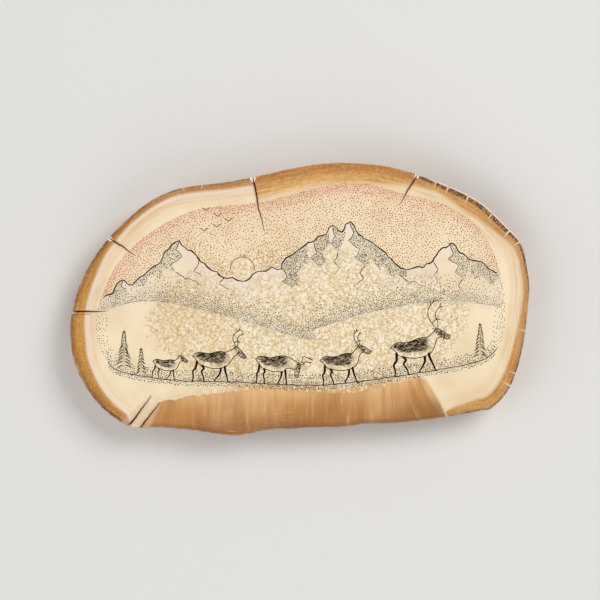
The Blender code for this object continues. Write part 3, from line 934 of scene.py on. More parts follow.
def stipple_plan(spots, herd):
    """The gap to keep around a dot at each spot, without end where none goes, its ink and size

    The inks are drawn by chance from those of each area.
    """
    chance = np.random.default_rng(7).random(len(spots))
    at, uneven = areas(spots), patches(spots)
    sun_way = np.linalg.norm(spots - on_panel(SUN_PLACE), axis=1)
    halo = 1 - fade(sun_way, SUN_RADIUS, SUN_RADIUS * 2.0)
    gap = 0.30 + 0.09 * fade(at.edge_way, 0.2, 2.2) + 0.02 * fade(at.edge_way, 3, 9) + 0.25 * halo
    gaps = np.where(at.sky & (sun_way > SUN_RADIUS * 1.02), gap, np.inf)
    gaps = np.where(at.dark, 0.25 + 0.12 * uneven, gaps)
    rosy = 0.12 + 0.55 * np.exp(-at.edge_way / 1.6)
    inks = np.where(chance < rosy, ROSE_INK, BROWN_INK)
    inks = np.where(at.dark, np.where(chance < 0.5, SLATE_INK, DARK_INK), inks)

    plain = at.land & ~at.dark
    layers = []
    for rise in at.hill_rises:
        gap = 0.235 + (0.03 + 0.06 * uneven) * np.clip(rise, 0, None) ** 1.5
        share = 0.45 + 0.1 * rise
        layers.append((plain & (rise > 0) & (rise < 4.5), gap, share, GREY_INK, DARK_INK))
    for border in (LEFT_BORDER, RIGHT_BORDER):
        way = way_to(spots, flowing(border, BORDER_STEPS))
        layers.append((plain & (way < 1.9), 0.25 + 0.17 * way, 0.5, GREY_INK, BROWN_INK))
    near = (at.rise > -0.8) & (at.rise < 1.8) & at.beside_ground
    gap = 0.21 + (0.04 + 0.08 * uneven) * np.where(at.rise > 0, at.rise, -2 * at.rise)
    layers.append((near, gap, 0.5, DARK_INK, GREY_INK))
    for where, gap, share, ink, other_ink in layers:
        gaps = np.where(where, np.minimum(gap, gaps), gaps)
        inks = np.where(where, np.where(chance < share, ink, other_ink), inks)

    for animal in herd:
        gaps[within(spots, animal.patch(CARIBOU_BODY))] = np.inf
    sizes = np.where(at.sky, SKY_DOT_RADIUS, DOT_RADIUS)
    return gaps, inks, np.where(at.dark | near, BROAD_DOT_RADIUS, sizes)


def scatter(spots, gaps):
    """Indices of the spots kept, in their order, where none kept lies closer than the gap"""
    cell = 0.5
    kept = {}
    chosen = []
    for index, ((x, y), gap) in enumerate(zip(spots.tolist(), gaps.tolist())):
        column, row = int(x // cell), int(y // cell)
        reach = math.ceil(gap / cell)
        crowd = (other
                 for i in range(column - reach, column + reach + 1)
                 for j in range(row - reach, row + reach + 1)
                 for other in kept.get((i, j), ()))
        if any((x - a) ** 2 + (y - b) ** 2 < gap * gap for a, b in crowd):
            continue
        kept.setdefault((column, row), []).append((x, y))
        chosen.append(index)
    return chosen


def stipple(herd, grooves, cracks):
    """Middles, radii and inks of all the stippled dots"""
    draw = np.random.default_rng(3)
    field = field_loop()
    regions = [(np.vstack((field, field - (0.0, 1.0))), DOT_TRIES)]
    regions += [(loop, THICK_TRIES) for loop in shade_loops()]
    spots = []
    for loop, tries in regions:
        low, high = loop.min(0), loop.max(0)
        spots.append(draw.uniform(low, high, (int(np.prod(high - low) * tries), 2)))
    for line, low, high in STIPPLE_STRIPS:
        crest = flowing(line)
        crest = crest[np.argsort(crest[:, 0])]
        left, right = crest[0, 0], crest[-1, 0]
        x = draw.uniform(left, right, int((right - left) * (high - low) * THICK_TRIES))
        y = np.interp(x, *crest.T) + draw.uniform(low, high, len(x))
        spots.append(np.stack((x, y), axis=1))
    spots = np.vstack(spots)
    gaps, inks, sizes = stipple_plan(spots, herd)
    radii = sizes * draw.uniform(DOT_LEAST, DOT_MOST, len(sizes))
    inner, _ = grooves.read(spots, 0.4)
    clear = np.isfinite(gaps) & (inner < -radii * DOT_ROOM - 0.02)
    clear &= clear_of(spots, cracks, radii + CRACK_CLEARANCE)
    gaps = np.maximum(gaps * draw.uniform(0.70, 1.45, len(gaps)), radii + sizes * DOT_MOST + 0.03)
    spots, gaps, inks, radii = (column[clear] for column in (spots, gaps, inks, radii))
    chosen = scatter(spots, gaps)
    return spots[chosen], radii[chosen], inks[chosen]


def stepped(line, step):
    """Points at even steps along a line"""
    ways = np.concatenate(((0.0,), np.cumsum(np.linalg.norm(np.diff(line, axis=0), axis=1))))
    fresh = np.arange(0.0, ways[-1], step)
    return np.stack([np.interp(fresh, ways, column) for column in line.T], axis=1)


def hex_grid(pitch, loop):
    """An even grid of spots inside a loop"""
    low, high = loop.min(0), loop.max(0)
    rows = np.arange(low[1], high[1], pitch * math.sqrt(3) / 2)
    spots = [(x + pitch / 2 * (number % 2), y)
             for number, y in enumerate(rows) for x in np.arange(low[0], high[0], pitch)]
    spots = np.array(spots)
    return spots[within(spots, loop)]


def nearest(spots, others):
    """The number of the nearest of the others to each spot, and the way to it"""
    tree = KDTree(len(others))
    for index, (x, y) in enumerate(others):
        tree.insert((x, y, 0.0), index)
    tree.balance()
    numbers, ways = zip(*[tree.find((x, y, 0.0))[1:] for x, y in spots])
    return np.array(numbers), np.array(ways)


def far_from(spots, others, way):
    """The spots that keep a way from all the others"""
    return spots[nearest(spots, others)[1] > way]


def filled(loop, tracks, loose):
    """Triangles over a closed loop, through open tracks and loose points

    Gives the spots, for each input point its spot or -1, and the triangles.
    """
    points = [Vector(spot) for spot in loop]
    edges = [(index, (index + 1) % len(loop)) for index in range(len(loop))]
    for track in tracks:
        first = len(points)
        points += [Vector(spot) for spot in track]
        edges += [(first + step, first + step + 1) for step in range(len(track) - 1)]
    points += [Vector(spot) for spot in loose]
    spots, _, faces, origins, _, _ = delaunay_2d_cdt(points, edges, [], 1, MERGE_WAY)
    place = np.full(len(points), -1)
    for index, sources in enumerate(origins):
        place[sources] = index
    return np.array([tuple(spot) for spot in spots]), place, np.array(faces)


def wall_faces(spots, cracked, levels, broken):
    """Faces of the wall, ring by ring, with their slots and their corners in the map"""
    here = np.arange(len(spots))
    after = np.roll(here, -1)
    on_crack = cracked & cracked[after]
    lengths = np.linalg.norm(spots[after] - spots, axis=1)
    u0, u1 = np.zeros((2, len(spots)))
    for own in (on_crack, ~on_crack):
        ways = np.concatenate(((0.0,), np.cumsum(lengths * own))) / lengths[own].sum()
        u0[own], u1[own] = ways[:-1][own], ways[1:][own]
    low, high = np.where(on_crack, np.reshape(CRACK_MAP, (2, 1)), np.reshape(WALL_MAP, (2, 1)))
    faces, slots, maps = [], [], []
    for level in range(levels - 1):
        v0, v1 = (low + (high - low) * step / (levels - 1) for step in (level, level + 1))
        ring = np.stack((here, after, after + len(spots), here + len(spots)), axis=1)
        faces.append(ring + level * len(spots))
        maps.append(np.stack((u0, v0, u1, v0, u1, v1, u0, v1), axis=1).reshape(-1, 2))
        chipped = broken & (level >= levels - ROUND_STEPS)
        slots.append(np.where(on_crack, LINING, np.where(chipped, CHALK, IVORY)))
    return np.vstack(faces), np.concatenate(slots), np.vstack(maps)


def in_map(spots):
    """Places of spots in a map as wide as the slice"""
    return (spots / (2 * HALF_SIZE) + 0.5).reshape(-1, 2) * (1.0, HEIGHT / WIDTH)


def closest(spots, spot):
    """Number of the spot closest to another"""
    return np.linalg.norm(spots - spot, axis=1).argmin()


def build_panel():
    """The whole slice as one closed mesh, with its slots, its map and what tints it"""
    rim = Rim()
    cracks = make_cracks(rim)
    chips, nicks = make_notches(rim, cracks)
    spots, moves, pinches, cracked = make_stations(rim, cracks, nicks)
    count = len(spots)

    def notched(places):
        return np.max([notch.depths(places) for notch in chips + nicks], axis=0)

    def chalky(places):
        shares = [notch.depths(places) / notch.depth for notch in chips + nicks]
        return np.max(shares, axis=0) > CHALKY_SHARE

    rings = []
    for inset, height in ring_levels(spots):
        depth = np.clip((THICKNESS - height) / CRACK_CLOSED, 0, 1)
        ring = spots + moves * np.reshape(inset, (-1, 1)) + pinches * np.reshape(depth, (-1, 1))
        rings.append(np.column_stack((ring, np.minimum(height, THICKNESS - notched(ring)))))
    wall = np.vstack(rings)
    bottom, top = rings[0][:, :2], rings[-1][:, :2]

    # The picture's lines and dots
    herd = [Caribou(*animal) for animal in HERD]
    strokes = clear_runs(picture_strokes(herd), rim.spots + rim.inwards * DRAWING_MARGIN, cracks)
    strokes.append(stroke(smooth(HAIR_CRACK, 3), HAIR_WIDTH, BROWN_INK))
    grooves = Grooves(strokes)
    dots, radii, dot_inks = stipple(herd, grooves, cracks)
    tracks = []
    for line, widths, _ in strokes:
        left, right = beside(line, widths / 2)
        tracks += [left, line, right]
    for nick in nicks:
        mouth = closest(top, nick.mouth + nick.inward * FRONT_ROUND)
        end = nick.mouth + nick.inward * nick.reach
        tracks += [np.array((top[mouth + side], end)) for side in (-1, 0, 1)]
    for crack in cracks:
        for sign in (-1, 1) if crack.chip else ():
            lip = closest(spots, rim.at(crack.way + sign * crack.chip / 2))
            side = crack.middle[0] - sign * crack.aside * crack.halves[0]
            tracks.append(np.array((top[lip], side)))
    corners = toward(np.arange(DOT_SIDES) * math.tau / DOT_SIDES)
    pits = dots[:, None] + radii[:, None, None] * corners

    # Points that hold the surface flat and the tints' edges in place
    inner_ring = (spots + moves * (front_round(spots) + SUPPORT_WAY)[:, None])[~cracked]
    held = [inner_ring[notched(inner_ring) == 0], *beside(ground_line(), GROUND_SUPPORT)]
    for crack in cracks:
        for way in CRACK_SUPPORTS:
            held += beside(crack.line, way)
    held += beside(stepped(sky_edge(), SUPPORT_STEP), SKY_SUPPORT)
    for spread in SHADES:
        held += beside(stepped(on_panel(spread), SHADE_STEP), SHADE_SUPPORT)
    supports = np.vstack(held)
    supports = supports[within(supports, top) & clear_of(supports, cracks, SUPPORT_FROM_CRACK)]
    supports = supports[grooves.read(supports, 0.2)[0] < -SUPPORT_FROM_GROOVE]
    busy = np.vstack((dots, *(line for line, _, _ in strokes), supports, top))
    grid = far_from(hex_grid(FACE_PITCH, top), busy, GRID_CLEARANCE)
    supports = far_from(supports, dots, 2 * DOT_RADIUS)
    loose = np.vstack((dots, pits.reshape(-1, 2), supports, grid))

    # The face and the back
    face, place, front = filled(top, tracks, loose)
    first_dot = count + sum(len(track) for track in tracks)
    centres = place[first_dot:first_dot + len(dots)]
    inner, _ = grooves.read(face, 0.05)
    depths = np.maximum(CUT_SLOPE * np.clip(inner, 0, None), notched(face))
    depths[centres] = DOT_DEPTH * radii / DOT_RADIUS
    back_grid = far_from(hex_grid(BACK_PITCH, bottom), bottom, BACK_CLEARANCE)
    back, back_place, rear = filled(bottom, [], back_grid)
    rear = rear[:, ::-1]
    points = np.vstack((wall, np.column_stack((face, THICKNESS - depths)),
                        np.column_stack((back, np.zeros(len(back))))))
    face_index = np.arange(len(face)) + len(wall)
    face_index[place[:count]] = len(wall) - count + np.arange(count)
    back_index = np.arange(len(back)) + len(wall) + len(face)
    back_index[back_place[:count]] = np.arange(count)

    # The slot of each face of the front
    middles = face[front].mean(1)
    inner, inks = grooves.read(middles, 0.05)
    slots = np.where(inner > INKED_DEPTH, inks, IVORY)
    slots[chalky(middles)] = CHALK
    pit_of = np.full(len(face), -1)
    pit_of[centres] = np.arange(len(dots))
    dotted = pit_of[front].max(1)
    slots[dotted >= 0] = dot_inks[dotted[dotted >= 0]]

    broken = chalky((spots + np.roll(spots, -1, axis=0)) / 2)
    quads, quad_slots, quad_map = wall_faces(spots, cracked, len(rings), broken)
    mesh = bpy.data.meshes.new("engraved_ivory")
    faces = face_index[front].tolist() + back_index[rear].tolist() + quads.tolist()
    mesh.from_pydata((points * MM).tolist(), [], faces)
    indices = np.concatenate((slots, np.full(len(rear), IVORY), quad_slots))
    mesh.polygons.foreach_set("material_index", indices.astype(np.int32))
    layer = mesh.uv_layers.new(name="OFBake")
    corners = np.vstack((in_map(face[front]) + (0.0, 1.0 - HEIGHT / WIDTH),
                         in_map(back[rear]) * BACK_MAP + (0.0, 0.05), quad_map))
    layer.data.foreach_set("uv", corners.astype(np.float32).ravel())
    for name, values in surface_tints(points, rim, cracks, herd).items():
        attribute = mesh.attributes.new(name, 'FLOAT', 'POINT')
        attribute.data.foreach_set("value", values.astype(np.float32))
    mesh.shade_smooth()
    mesh.set_sharp_from_angle(angle=SHARP_ANGLE)
    mesh.validate()

    # Points that no face uses, such as those merged into a ring, are dropped
    edited = bmesh.new()
    edited.from_mesh(mesh)
    unused = [vert for vert in edited.verts if not vert.link_faces]
    bmesh.ops.delete(edited, geom=unused, context='VERTS')
    edited.to_mesh(mesh)
    edited.free()
    return stand("engraved_ivory", mesh)


def by_bearing(table, bearings):
    """Values of a table of (degrees, value) at bearings in degrees"""
    degrees, values = np.array(table, float).T
    return np.interp(bearings, degrees, values, period=360)


def surface_tints(points, rim, cracks, herd):
    """What the ivory's nodes read at each point: ways to its zones and the tints rubbed in"""
    flat, heights = points[:, :2], points[:, 2]
    fine = rim.at(np.arange(0, rim.length, WAY_STEP))
    numbers, rim_way = nearest(flat, fine)
    foot = fine[numbers]
    turns = np.degrees(bearings(foot)) % 360
    rind_way = rim_way - by_bearing(RIND_WIDTHS, turns)
    side = fade(THICKNESS - heights - front_round(foot), -0.05, 0.4) * fade(heights, 0.0, 0.2)
    rim_way += (SIDE_WAY - rim_way) * side
    rind_way += (-SIDE_WAY - rind_way) * side

    band_loop = on_panel(BAND_EDGE)
    band_way = np.where(within(flat, band_loop), 1, -1) * way_to(flat, band_loop)
    offset = (flat - on_panel(CORE_CENTRE)) / on_panel(CORE_REACH)
    core_way = (1 - np.hypot(*offset.T)) * HALF_SIZE[1] * CORE_REACH[1]

    at, uneven, on_face = areas(flat), patches(flat), heights > THICKNESS - 0.5
    rose = at.sky * (0.02 + 0.07 * uneven + 0.68 * np.exp(-at.edge_way / 2.2))
    rose *= 1 - 0.50 * fade(flat[:, 0], 16, 28)
    slate = at.dark * (0.85 - 0.35 * uneven)
    for rise in at.hill_rises:
        wash = 0.72 * np.exp(-np.clip(rise, 0, None) / 1.6)
        slate = np.maximum(slate, at.land * (rise >= -0.05) * wash)
    slope = np.where(at.rise > 0, at.rise / 1.1, -at.rise / 0.5)
    wash = (0.70 - 0.2 * uneven) * np.exp(-slope)
    slate = np.maximum(slate, at.beside_ground * (at.rise > -1.0) * wash)
    snow = at.land * ~at.dark * np.exp(-way_to(flat, ridge_line()) / 2.2)
    coat = np.zeros(len(points))
    for animal in herd:
        for part, depth in ((COAT, 0.9), (MASK, 0.6)):
            coat[within(flat, animal.patch(part))] = depth

    crack_way = np.full(len(points), 9.0)
    for crack in cracks:
        left = np.clip(1 - (flat - crack.mouth) @ crack.ahead / crack.length, 0.1, 1.0)
        crack_way = np.minimum(crack_way, way_to(flat, crack.line) / left ** 0.6)

    x, y = flat.T
    lean = (math.tan(math.radians(50)) * fade(x, 12, 27)
            - math.tan(math.radians(34)) * fade(-x, 20, 27))
    return {
        "rim_way": rim_way, "rind_way": rind_way, "side": side,
        "golden": by_bearing(GOLDEN, turns), "dark_skin_and_shade": by_bearing(DARK_SKIN_AND_SHADE, turns),
        "band_way": band_way, "core_way": core_way, "crack_way": crack_way,
        "fan": x + lean * (y + HALF_SIZE[1]), "rose": rose * on_face, "slate": slate * on_face,
        "snow": snow * on_face, "coat": coat * on_face,
    }


def tint(red, green, blue):
    """Linear colour of an 8-bit display colour"""
    shares = [value / 255 for value in (red, green, blue)]
    linear = [share / 12.92 if share <= 0.04045 else ((share + 0.055) / 1.055) ** 2.4
              for share in shares]
    return (*linear, 1.0)


class Wire:
    """An output of a material's nodes, from which further sums and fades are made"""

    def __init__(self, made, socket):
        self.made, self.socket = made, socket

    def __add__(self, other):
        return self.made.node("Math", {0: self, 1: other}, operation='ADD')

    def __sub__(self, other):
        return self.made.node("Math", {0: self, 1: other}, operation='SUBTRACT')

    def __mul__(self, other):
        return self.made.node("Math", {0: self, 1: other}, operation='MULTIPLY')

    def ease(self, start, end, low=0.0, high=1.0):
        """Smooth change from low to high between two values"""
        inputs = {"Value": self, "From Min": start, "From Max": end, "To Min": low, "To Max": high}
        return self.made.node("MapRange", inputs, interpolation_type='SMOOTHSTEP')

    def stretch(self, *scales):
        """Coordinates stretched by one scale along each axis"""
        return self.made.node("VectorMath", {0: self, 1: scales}, operation='MULTIPLY')


class Shades:
    """A material's nodes, added by short calls"""

    def __init__(self, name, colour):
        self.material = bpy.data.materials.new(name)
        self.material.use_nodes = True
        self.tree = self.material.node_tree
        self.inputs = self.tree.nodes["Principled BSDF"].inputs
        self.inputs["Base Color"].default_value = tint(*colour)

    def set(self, settings):
        """Give sockets of the shader their values"""
        for name, value in settings.items():
            self.feed(self.inputs[name], value)

    def feed(self, socket, value):
        """Link an output to a socket, or set its value"""
        if isinstance(value, Wire):
            self.tree.links.new(value.socket, socket)
        else:
            socket.default_value = value

    def node(self, kind, inputs, output=0, **settings):
        """Add a node, and give one of its outputs"""
        node = self.tree.nodes.new("ShaderNode" + kind)
        for name, value in settings.items():
            setattr(node, name, value)
        for socket, value in inputs.items():
            self.feed(node.inputs[socket], value)
        return Wire(self, node.outputs[output])

    def read(self, name):
        """A value kept at the mesh's points"""
        return self.node("Attribute", {}, output="Fac", attribute_name=name)

    def painted(self, colour, *coats):
        """A colour with others laid over it, each given as its share and itself"""
        for share, other in coats:
            below, above = (one if isinstance(one, Wire) else tint(*one) for one in (colour, other))
            inputs = {0: share, 6: below, 7: above}
            colour = self.node("Mix", inputs, output=2, data_type='RGBA')
        return colour

    def join(self, x, y, z):
        """Coordinates from three values"""
        return self.node("CombineXYZ", {0: x, 1: y, 2: z})

    def noise(self, vector, scale, detail=2.0, roughness=0.5, output=0):
        """Soft cloudy pattern around one half"""
        inputs = {"Vector": vector, "Scale": scale, "Detail": detail, "Roughness": roughness}
        return self.node("TexNoise", inputs, output)

    def cells(self, vector, scale, output="Distance", feature='F1'):
        """Cells, with the way from each one's middle or edge"""
        return self.node("TexVoronoi", {"Vector": vector, "Scale": scale}, output, feature=feature)

    def chance(self, vector, scale):
        """A number of its own for each cell, between 0 and 1"""
        return self.node("SeparateColor", {0: self.cells(vector, scale, "Color")})


def ivory_material():
    """Polished tusk: rind, pale growth ring, dentine, mottled core and the clear brown band"""
    made = Shades("polished_ivory", (240, 220, 183))
    noise, cells, chance, painted = made.noise, made.cells, made.chance, made.painted
    place = made.node("TexCoord", {}, output="Object").stretch(1000, 1000, 1000)
    x, y, z = (made.node("SeparateXYZ", {0: place}, output=axis) for axis in range(3))
    rim_way, rind_way, band_way, core_way, crack_way, golden, dark_skin_and_shade, side = map(made.read, (
        "rim_way", "rind_way", "band_way", "core_way", "crack_way", "golden", "dark_skin_and_shade", "side"))
    lumps, grain = noise(place, 0.95, 3, 0.6), noise(place, 2.8, 2, 0.6)

    # Mottled core: rounded lumps with tan seams, olive spots and a few dark specks
    drift = noise(place, 0.9, output=1).stretch(1.1, 1.1, 1.1)
    bent = made.node("VectorMath", {0: place, 1: drift}, operation='ADD')
    seam = cells(bent, 1.0, feature='DISTANCE_TO_EDGE')
    hue = noise(place, 0.55)
    spots = cells(bent, 1.7).ease(0.42, 0.16) * chance(bent, 1.7).ease(0.46, 0.54)
    specks = cells(place, 0.62).ease(0.12, 0.07) * chance(place, 0.62).ease(0.70, 0.75)
    core = painted(
        (248, 236, 208),
        (noise(place, 0.30).ease(0.38, 0.62), (242, 225, 188)),
        ((x + lumps * 12).ease(0, -16, 0, 0.5), (228, 192, 140)),
        (hue.ease(0.50, 0.66, 0, 0.45), (226, 211, 158)),
        (hue.ease(0.50, 0.36, 0, 0.45), (244, 216, 188)),
        (chance(bent, 1.0).ease(0.74, 0.82) * seam.ease(0.06, 0.22) * 0.38, (249, 242, 226)),
        (seam.ease(0.16, 0.04) * lumps.ease(0.36, 0.52) * 0.62, (198, 166, 108)),
        (spots * 0.75, (186, 154, 98)),
        (grain.ease(0.50, 0.63, 0, 0.58), (186, 156, 106)),
        (grain.ease(0.47, 0.35, 0, 0.38), (252, 241, 216)),
        (specks * 0.9, (112, 76, 46)),
    )

    # The clear brown band along the lower edge, streaked across the growth
    streaks = made.join(made.read("fan") * 0.55, y * 0.05, z * 0.12)
    wide, narrow = noise(streaks, 0.8), noise(streaks, 3.0, 3, 0.6)
    paler = x.ease(-17.5, -14) * x.ease(0, -5) + x.ease(11, 14) * x.ease(21, 17)
    band = painted(
        (222, 179, 124),
        (band_way.ease(0, 3), (193, 138, 77)),
        (band_way.ease(2.4, 6.6), (150, 98, 50)),
        (paler * band_way.ease(6.6, 3, 0.15, 0.45), (226, 182, 130)),
        (x.ease(2, 6) * x.ease(14, 10) * 0.45, (176, 122, 72)),
        (x.ease(-17.5, -22, 0, 0.60), (188, 132, 72)),
        (wide.ease(0.46, 0.68, 0, 0.42), (164, 110, 60)),
        (wide.ease(0.44, 0.30, 0, 0.40), (228, 182, 128)),
        (narrow.ease(0.54, 0.74, 0, 0.34), (234, 190, 138)),
        (narrow.ease(0.46, 0.32, 0, 0.34), (148, 98, 50)),
        # Painted shade: the band darker towards the rim at the right and along its lower edge
        (x.ease(17, 24) * rim_way.ease(5.5, 1.2) * 0.80, (136, 92, 44)),
        (rim_way.ease(1.1, 0.3, 0, 0.55), (128, 86, 50)),
    )
    fringe = band_way + (lumps - 0.5) * x.ease(13, 17, 1.5, 0.25)
    outside_band = fringe.ease(0.1, -0.3)
    blur = x.ease(13, 18, 0.10, 0.50)
    foam = (fringe.ease(-1.9, -0.3) * fringe.ease(0.30, 0) * x.ease(18, 14)
            * x.ease(-22, -4, 0.25, 1) * seam.ease(0.34, 0.08, 0.15, 0.85))

    # Growth lines that follow the rim
    growth = made.join(x * 0.10, y * 0.10, rim_way)
    lines = noise(growth.stretch(1.0, 1.0, 2.3), 1.0, 3, 0.65)
    fine_lines = noise(growth.stretch(2.0, 2.0, 5.5), 1.0, 2, 0.6)
    arcs = x.ease(-16, -13) * x.ease(1, -2) * rim_way.ease(3.4, 2.8)
    vein = (rim_way.ease(1.5, 1.9) * rim_way.ease(2.6, 2.1) * x.ease(-31.5, -29)
            * x.ease(-19, -26, 0, 0.65) * y.ease(8, 10))

    # Pale ring between the rind and the dentine, faintly lilac beside the rind
    ring = painted(
        (233, 208, 172),
        (lines.ease(0.40, 0.58), (221, 188, 140)),
        (fine_lines.ease(0.54, 0.68, 0, 0.50), (242, 226, 198)),
        (fine_lines.ease(0.46, 0.34, 0, 0.30), (218, 184, 138)),
    )
    ring_share = (rind_way.ease(2.8, 1.0) * outside_band * y.ease(-9, -13, 1, 0.45)
                  * golden.ease(0.2, 0.8, 1, 0.65) * 0.80)
    lilac = rind_way.ease(1.7, 0.3) * golden.ease(0.6, 0, 0.10, 0.62) * x.ease(8, -12, 0.15, 1)

    # Rind: orange-brown growth, golden and broad along the top, furrowed like bark on the wall
    furrows = noise(made.join(x * 1.6, y * 1.6, z * 0.16), 1.0, 3, 0.6)
    bark = painted(
        (203, 154, 100),
        (furrows.ease(0.34, 0.66), (183, 132, 80)),
        (noise(place, 0.35).ease(0.4, 0.65, 0, 0.6), (194, 150, 104)),
    )
    corner = x.ease(22, 28) * y.ease(-11, -15)
    foot = x.ease(-28, -33) * y.ease(-5, -15) * rim_way.ease(2.2, 1.0)
    rind = painted(
        (132, 77, 29),
        (rim_way.ease(0.1, 1.4), (203, 149, 72)),
        (x.ease(24, 34) * y.ease(-15, -8) * 0.5, (218, 170, 118)),
        (corner * 0.6, (212, 164, 106)),
        (foot * 0.55, (150, 98, 46)),
        (y.ease(13, 18, 0, 0.35), (210, 166, 124)),
        (golden, painted((180, 120, 53), (rim_way.ease(0.2, 3.4), (230, 181, 114)))),
        (lines.ease(0.48, 0.62, 0, 0.52), (168, 110, 50)),
        (fine_lines.ease(0.56, 0.70, 0, 0.40), (228, 182, 124)),
        (fine_lines.ease(0.44, 0.30, 0, 0.45), (146, 92, 44)),
        (grain.ease(0.50, 0.64, 0, 0.30), (150, 98, 48)),
        (grain.ease(0.46, 0.34, 0, 0.30), (226, 178, 120)),
        (side, bark),
    )
    soft = golden.ease(0, 1, 0.34, 0.80)
    rind_share = (rind_way + (lines - 0.5) * 0.7).ease(soft, soft * -1) * outside_band

    # Dark outermost skin, which along the lower right edge is painted shade, and a pale front edge
    # that is partly bare worn ivory and partly a painted highlight on the rounding
    skin_and_shade_share = ((rim_way - dark_skin_and_shade).ease(0.14, -0.06) * dark_skin_and_shade.ease(0.04, 0.2, 0, 0.92)
            * noise(place, 2.4, 3, 0.65).ease(0.60, 0.42, 0.30, 1) * side.ease(0, 1, 1, 0.45))
    # The pale front edge is partly worn ivory and partly a painted highlight on the rounding,
    # broadest at the upper right
    broad_pale_edge = dark_skin_and_shade.ease(0.4, 0.8) * y.ease(-8, -3)
    edge = rim_way - broad_pale_edge * 0.12 - x.ease(-24, -31, 0, 0.06) - lumps.ease(0.35, 0.65, -0.02, 0.03)
    patchy = made.node("Math", {0: lumps.ease(0.42, 0.58, 0.1, 0.35), 1: broad_pale_edge}, operation='MAXIMUM')
    pale_edge_and_highlight = edge.ease(0.19, 0.10) * (z + broad_pale_edge * 0.40).ease(6.62, 6.80) * patchy

    # The dentine, and over it all of these, the tints of the picture and the cracks' brown stain
    mottle = noise(place, 2.6, 2, 0.6).ease(0.35, 0.65, 0.55, 1)
    broad = noise(place, 0.8).ease(0.40, 0.60, 0.30, 0.52)
    colour = painted(
        (242, 224, 189),
        (noise(place, 0.16).ease(0.35, 0.68), (235, 212, 174)),
        ((core_way + lumps * 4).ease(1.8, 2.7) * 0.92, core),
        (fringe.ease(blur * -0.7, blur), band),
        (foam, (204, 158, 104)),
        (arcs * fine_lines.ease(0.60, 0.68, 0, 0.50), (226, 188, 144)),
        (ring_share, ring),
        (lilac * outside_band, (238, 217, 202)),
        (vein, (228, 180, 126)),
        (corner * 0.16, (206, 160, 112)),
        (rind_share, rind),
        # Dark skin, painted shade along the lower right edge; pale front edge, partly a painted
        # highlight
        (skin_and_shade_share, (72, 40, 18)),
        (pale_edge_and_highlight, (244, 226, 206)),
        (made.read("rose") * 0.80, (236, 176, 148)),
        (made.read("snow") * 0.60, (234, 218, 208)),
        (made.read("slate") * mottle * broad, (120, 142, 150)),
        (made.read("coat") * mottle * 0.85, (72, 56, 44)),
        (crack_way.ease(1.8, 1.0) * y.ease(-12, -15) * 0.45, (214, 184, 162)),
        (crack_way.ease(0.9, 0.3, 0, 0.26), (206, 152, 104)),
        (crack_way.ease(0.38, 0.10, 0, 0.80), (122, 68, 22)),
    )

    # Polish: glossy, with faint haze and fine scratches, and saw marks left on the back
    scratches = noise(place.stretch(0.4, 9, 1), 1.0, 2, 0.7)
    back = z.ease(0.35, 0.05)
    sawn = noise(place.stretch(0.12, 3.2, 1), 1.0, 2, 0.7)
    height = scratches * 0.3 + grain * 0.3 + back * sawn * 4 + side * furrows * 1.5
    haze = noise(place, 0.5, 3, 0.6).ease(0.3, 0.75, 0.28, 0.42)
    made.set({
        "Base Color": colour,
        "Roughness": haze + (back * 0.25 + skin_and_shade_share * 0.25),
        "Normal": made.node("Bump", {"Height": height, "Strength": 0.25, "Distance": 0.00002}),
        "Coat Weight": skin_and_shade_share.ease(0, 0.8, 0.15, 0),
        "Coat Roughness": 0.15,
        "Specular IOR Level": 0.3,
        "Subsurface Weight": 0.12,
        "Subsurface Radius": (1.0, 0.55, 0.3),
        "Subsurface Scale": 0.0012,
    })
    return made.material


def plain_material(name, colour, roughness, gloss=0.5):
    """An ink, or what lines a crack"""
    made = Shades(name, colour)
    made.set({"Roughness": roughness, "Specular IOR Level": gloss})
    return made.material


def dress(panel):
    """Give the slice its materials, in the order of the slots"""
    panel.data.materials.append(ivory_material())
    for name, colour, gloss in (
        ("crack_lining", (54, 26, 4), 0.0),
        ("chalky_chip", (253, 243, 226), 0.3),
        ("dark_ink", (44, 27, 18), 0.05),
        ("brown_ink", (152, 102, 60), 0.05),
        ("rose_ink", (166, 106, 76), 0.05),
        ("slate_ink", (56, 70, 78), 0.05),
        ("grey_ink", (88, 82, 70), 0.05),
    ):
        panel.data.materials.append(plain_material(name, colour, 0.7, gloss))


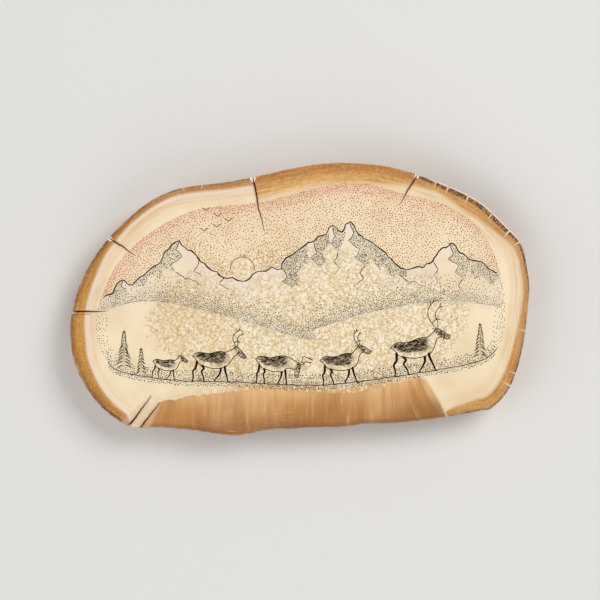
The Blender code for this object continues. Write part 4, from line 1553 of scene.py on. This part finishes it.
def stand(name, data, location=(0.0, 0.0, 0.0)):
    """Put an object into the scene"""
    thing = bpy.data.objects.new(name, data)
    thing.location = location
    bpy.context.scene.collection.objects.link(thing)
    return thing


def add_camera():
    """Look straight down on the engraved face, as the photograph looks at it"""
    pixel = WIDTH * MM / PANEL_WIDTH_PX
    data = bpy.data.cameras.new("camera")
    data.lens = LENS
    data.sensor_width = SENSOR
    bpy.context.scene.camera = stand("camera", data, (
        (IMAGE_SIDE / 2 - PANEL_CENTRE_PX[0]) * pixel,
        (PANEL_CENTRE_PX[1] - IMAGE_SIDE / 2) * pixel,
        HIGH.z + pixel * IMAGE_SIDE * LENS / SENSOR,
    ))


def add_light(name, location, size, watts, warmth=(1.0, 1.0, 1.0)):
    """A soft square lamp that faces the slice"""
    data = bpy.data.lights.new(name, 'AREA')
    data.shape = 'SQUARE'
    data.size = size
    data.energy = watts
    data.color = warmth
    lamp = stand(name, data, location)
    lamp.rotation_euler = (-Vector(location)).to_track_quat('-Z', 'Y').to_euler()


def add_studio():
    """Pale floor, pale surroundings and soft light"""
    mesh = bpy.data.meshes.new("floor")
    corners = FLOOR_REACH * np.array(((-1, -1, 0), (1, -1, 0), (1, 1, 0), (-1, 1, 0)))
    mesh.from_pydata(corners.tolist(), [], [(0, 1, 2, 3)])
    mesh.materials.append(plain_material("pale_floor", (222, 220, 216), 0.85))
    stand("floor", mesh, (0.0, 0.0, -FLOOR_GAP))
    add_light("key", (0.34, 0.30, 0.52), 0.34, 2.74, (1.0, 0.985, 0.96))
    add_light("fill", (-0.42, -0.10, 0.42), 0.50, 1.21)
    add_light("low", (0.05, -0.50, 0.36), 0.40, 0.91)
    world = bpy.data.worlds.new("studio")
    world.use_nodes = True
    shade = world.node_tree.nodes["Background"]
    shade.inputs["Color"].default_value = (0.95, 0.96, 1.0, 1.0)
    shade.inputs["Strength"].default_value = 0.345
    bpy.context.scene.world = world
    bpy.context.scene.view_settings.view_transform = 'Standard'


add_camera()
add_studio()
panel = build_panel()
dress(panel)
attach(panel, "root")
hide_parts("ivory_panel")
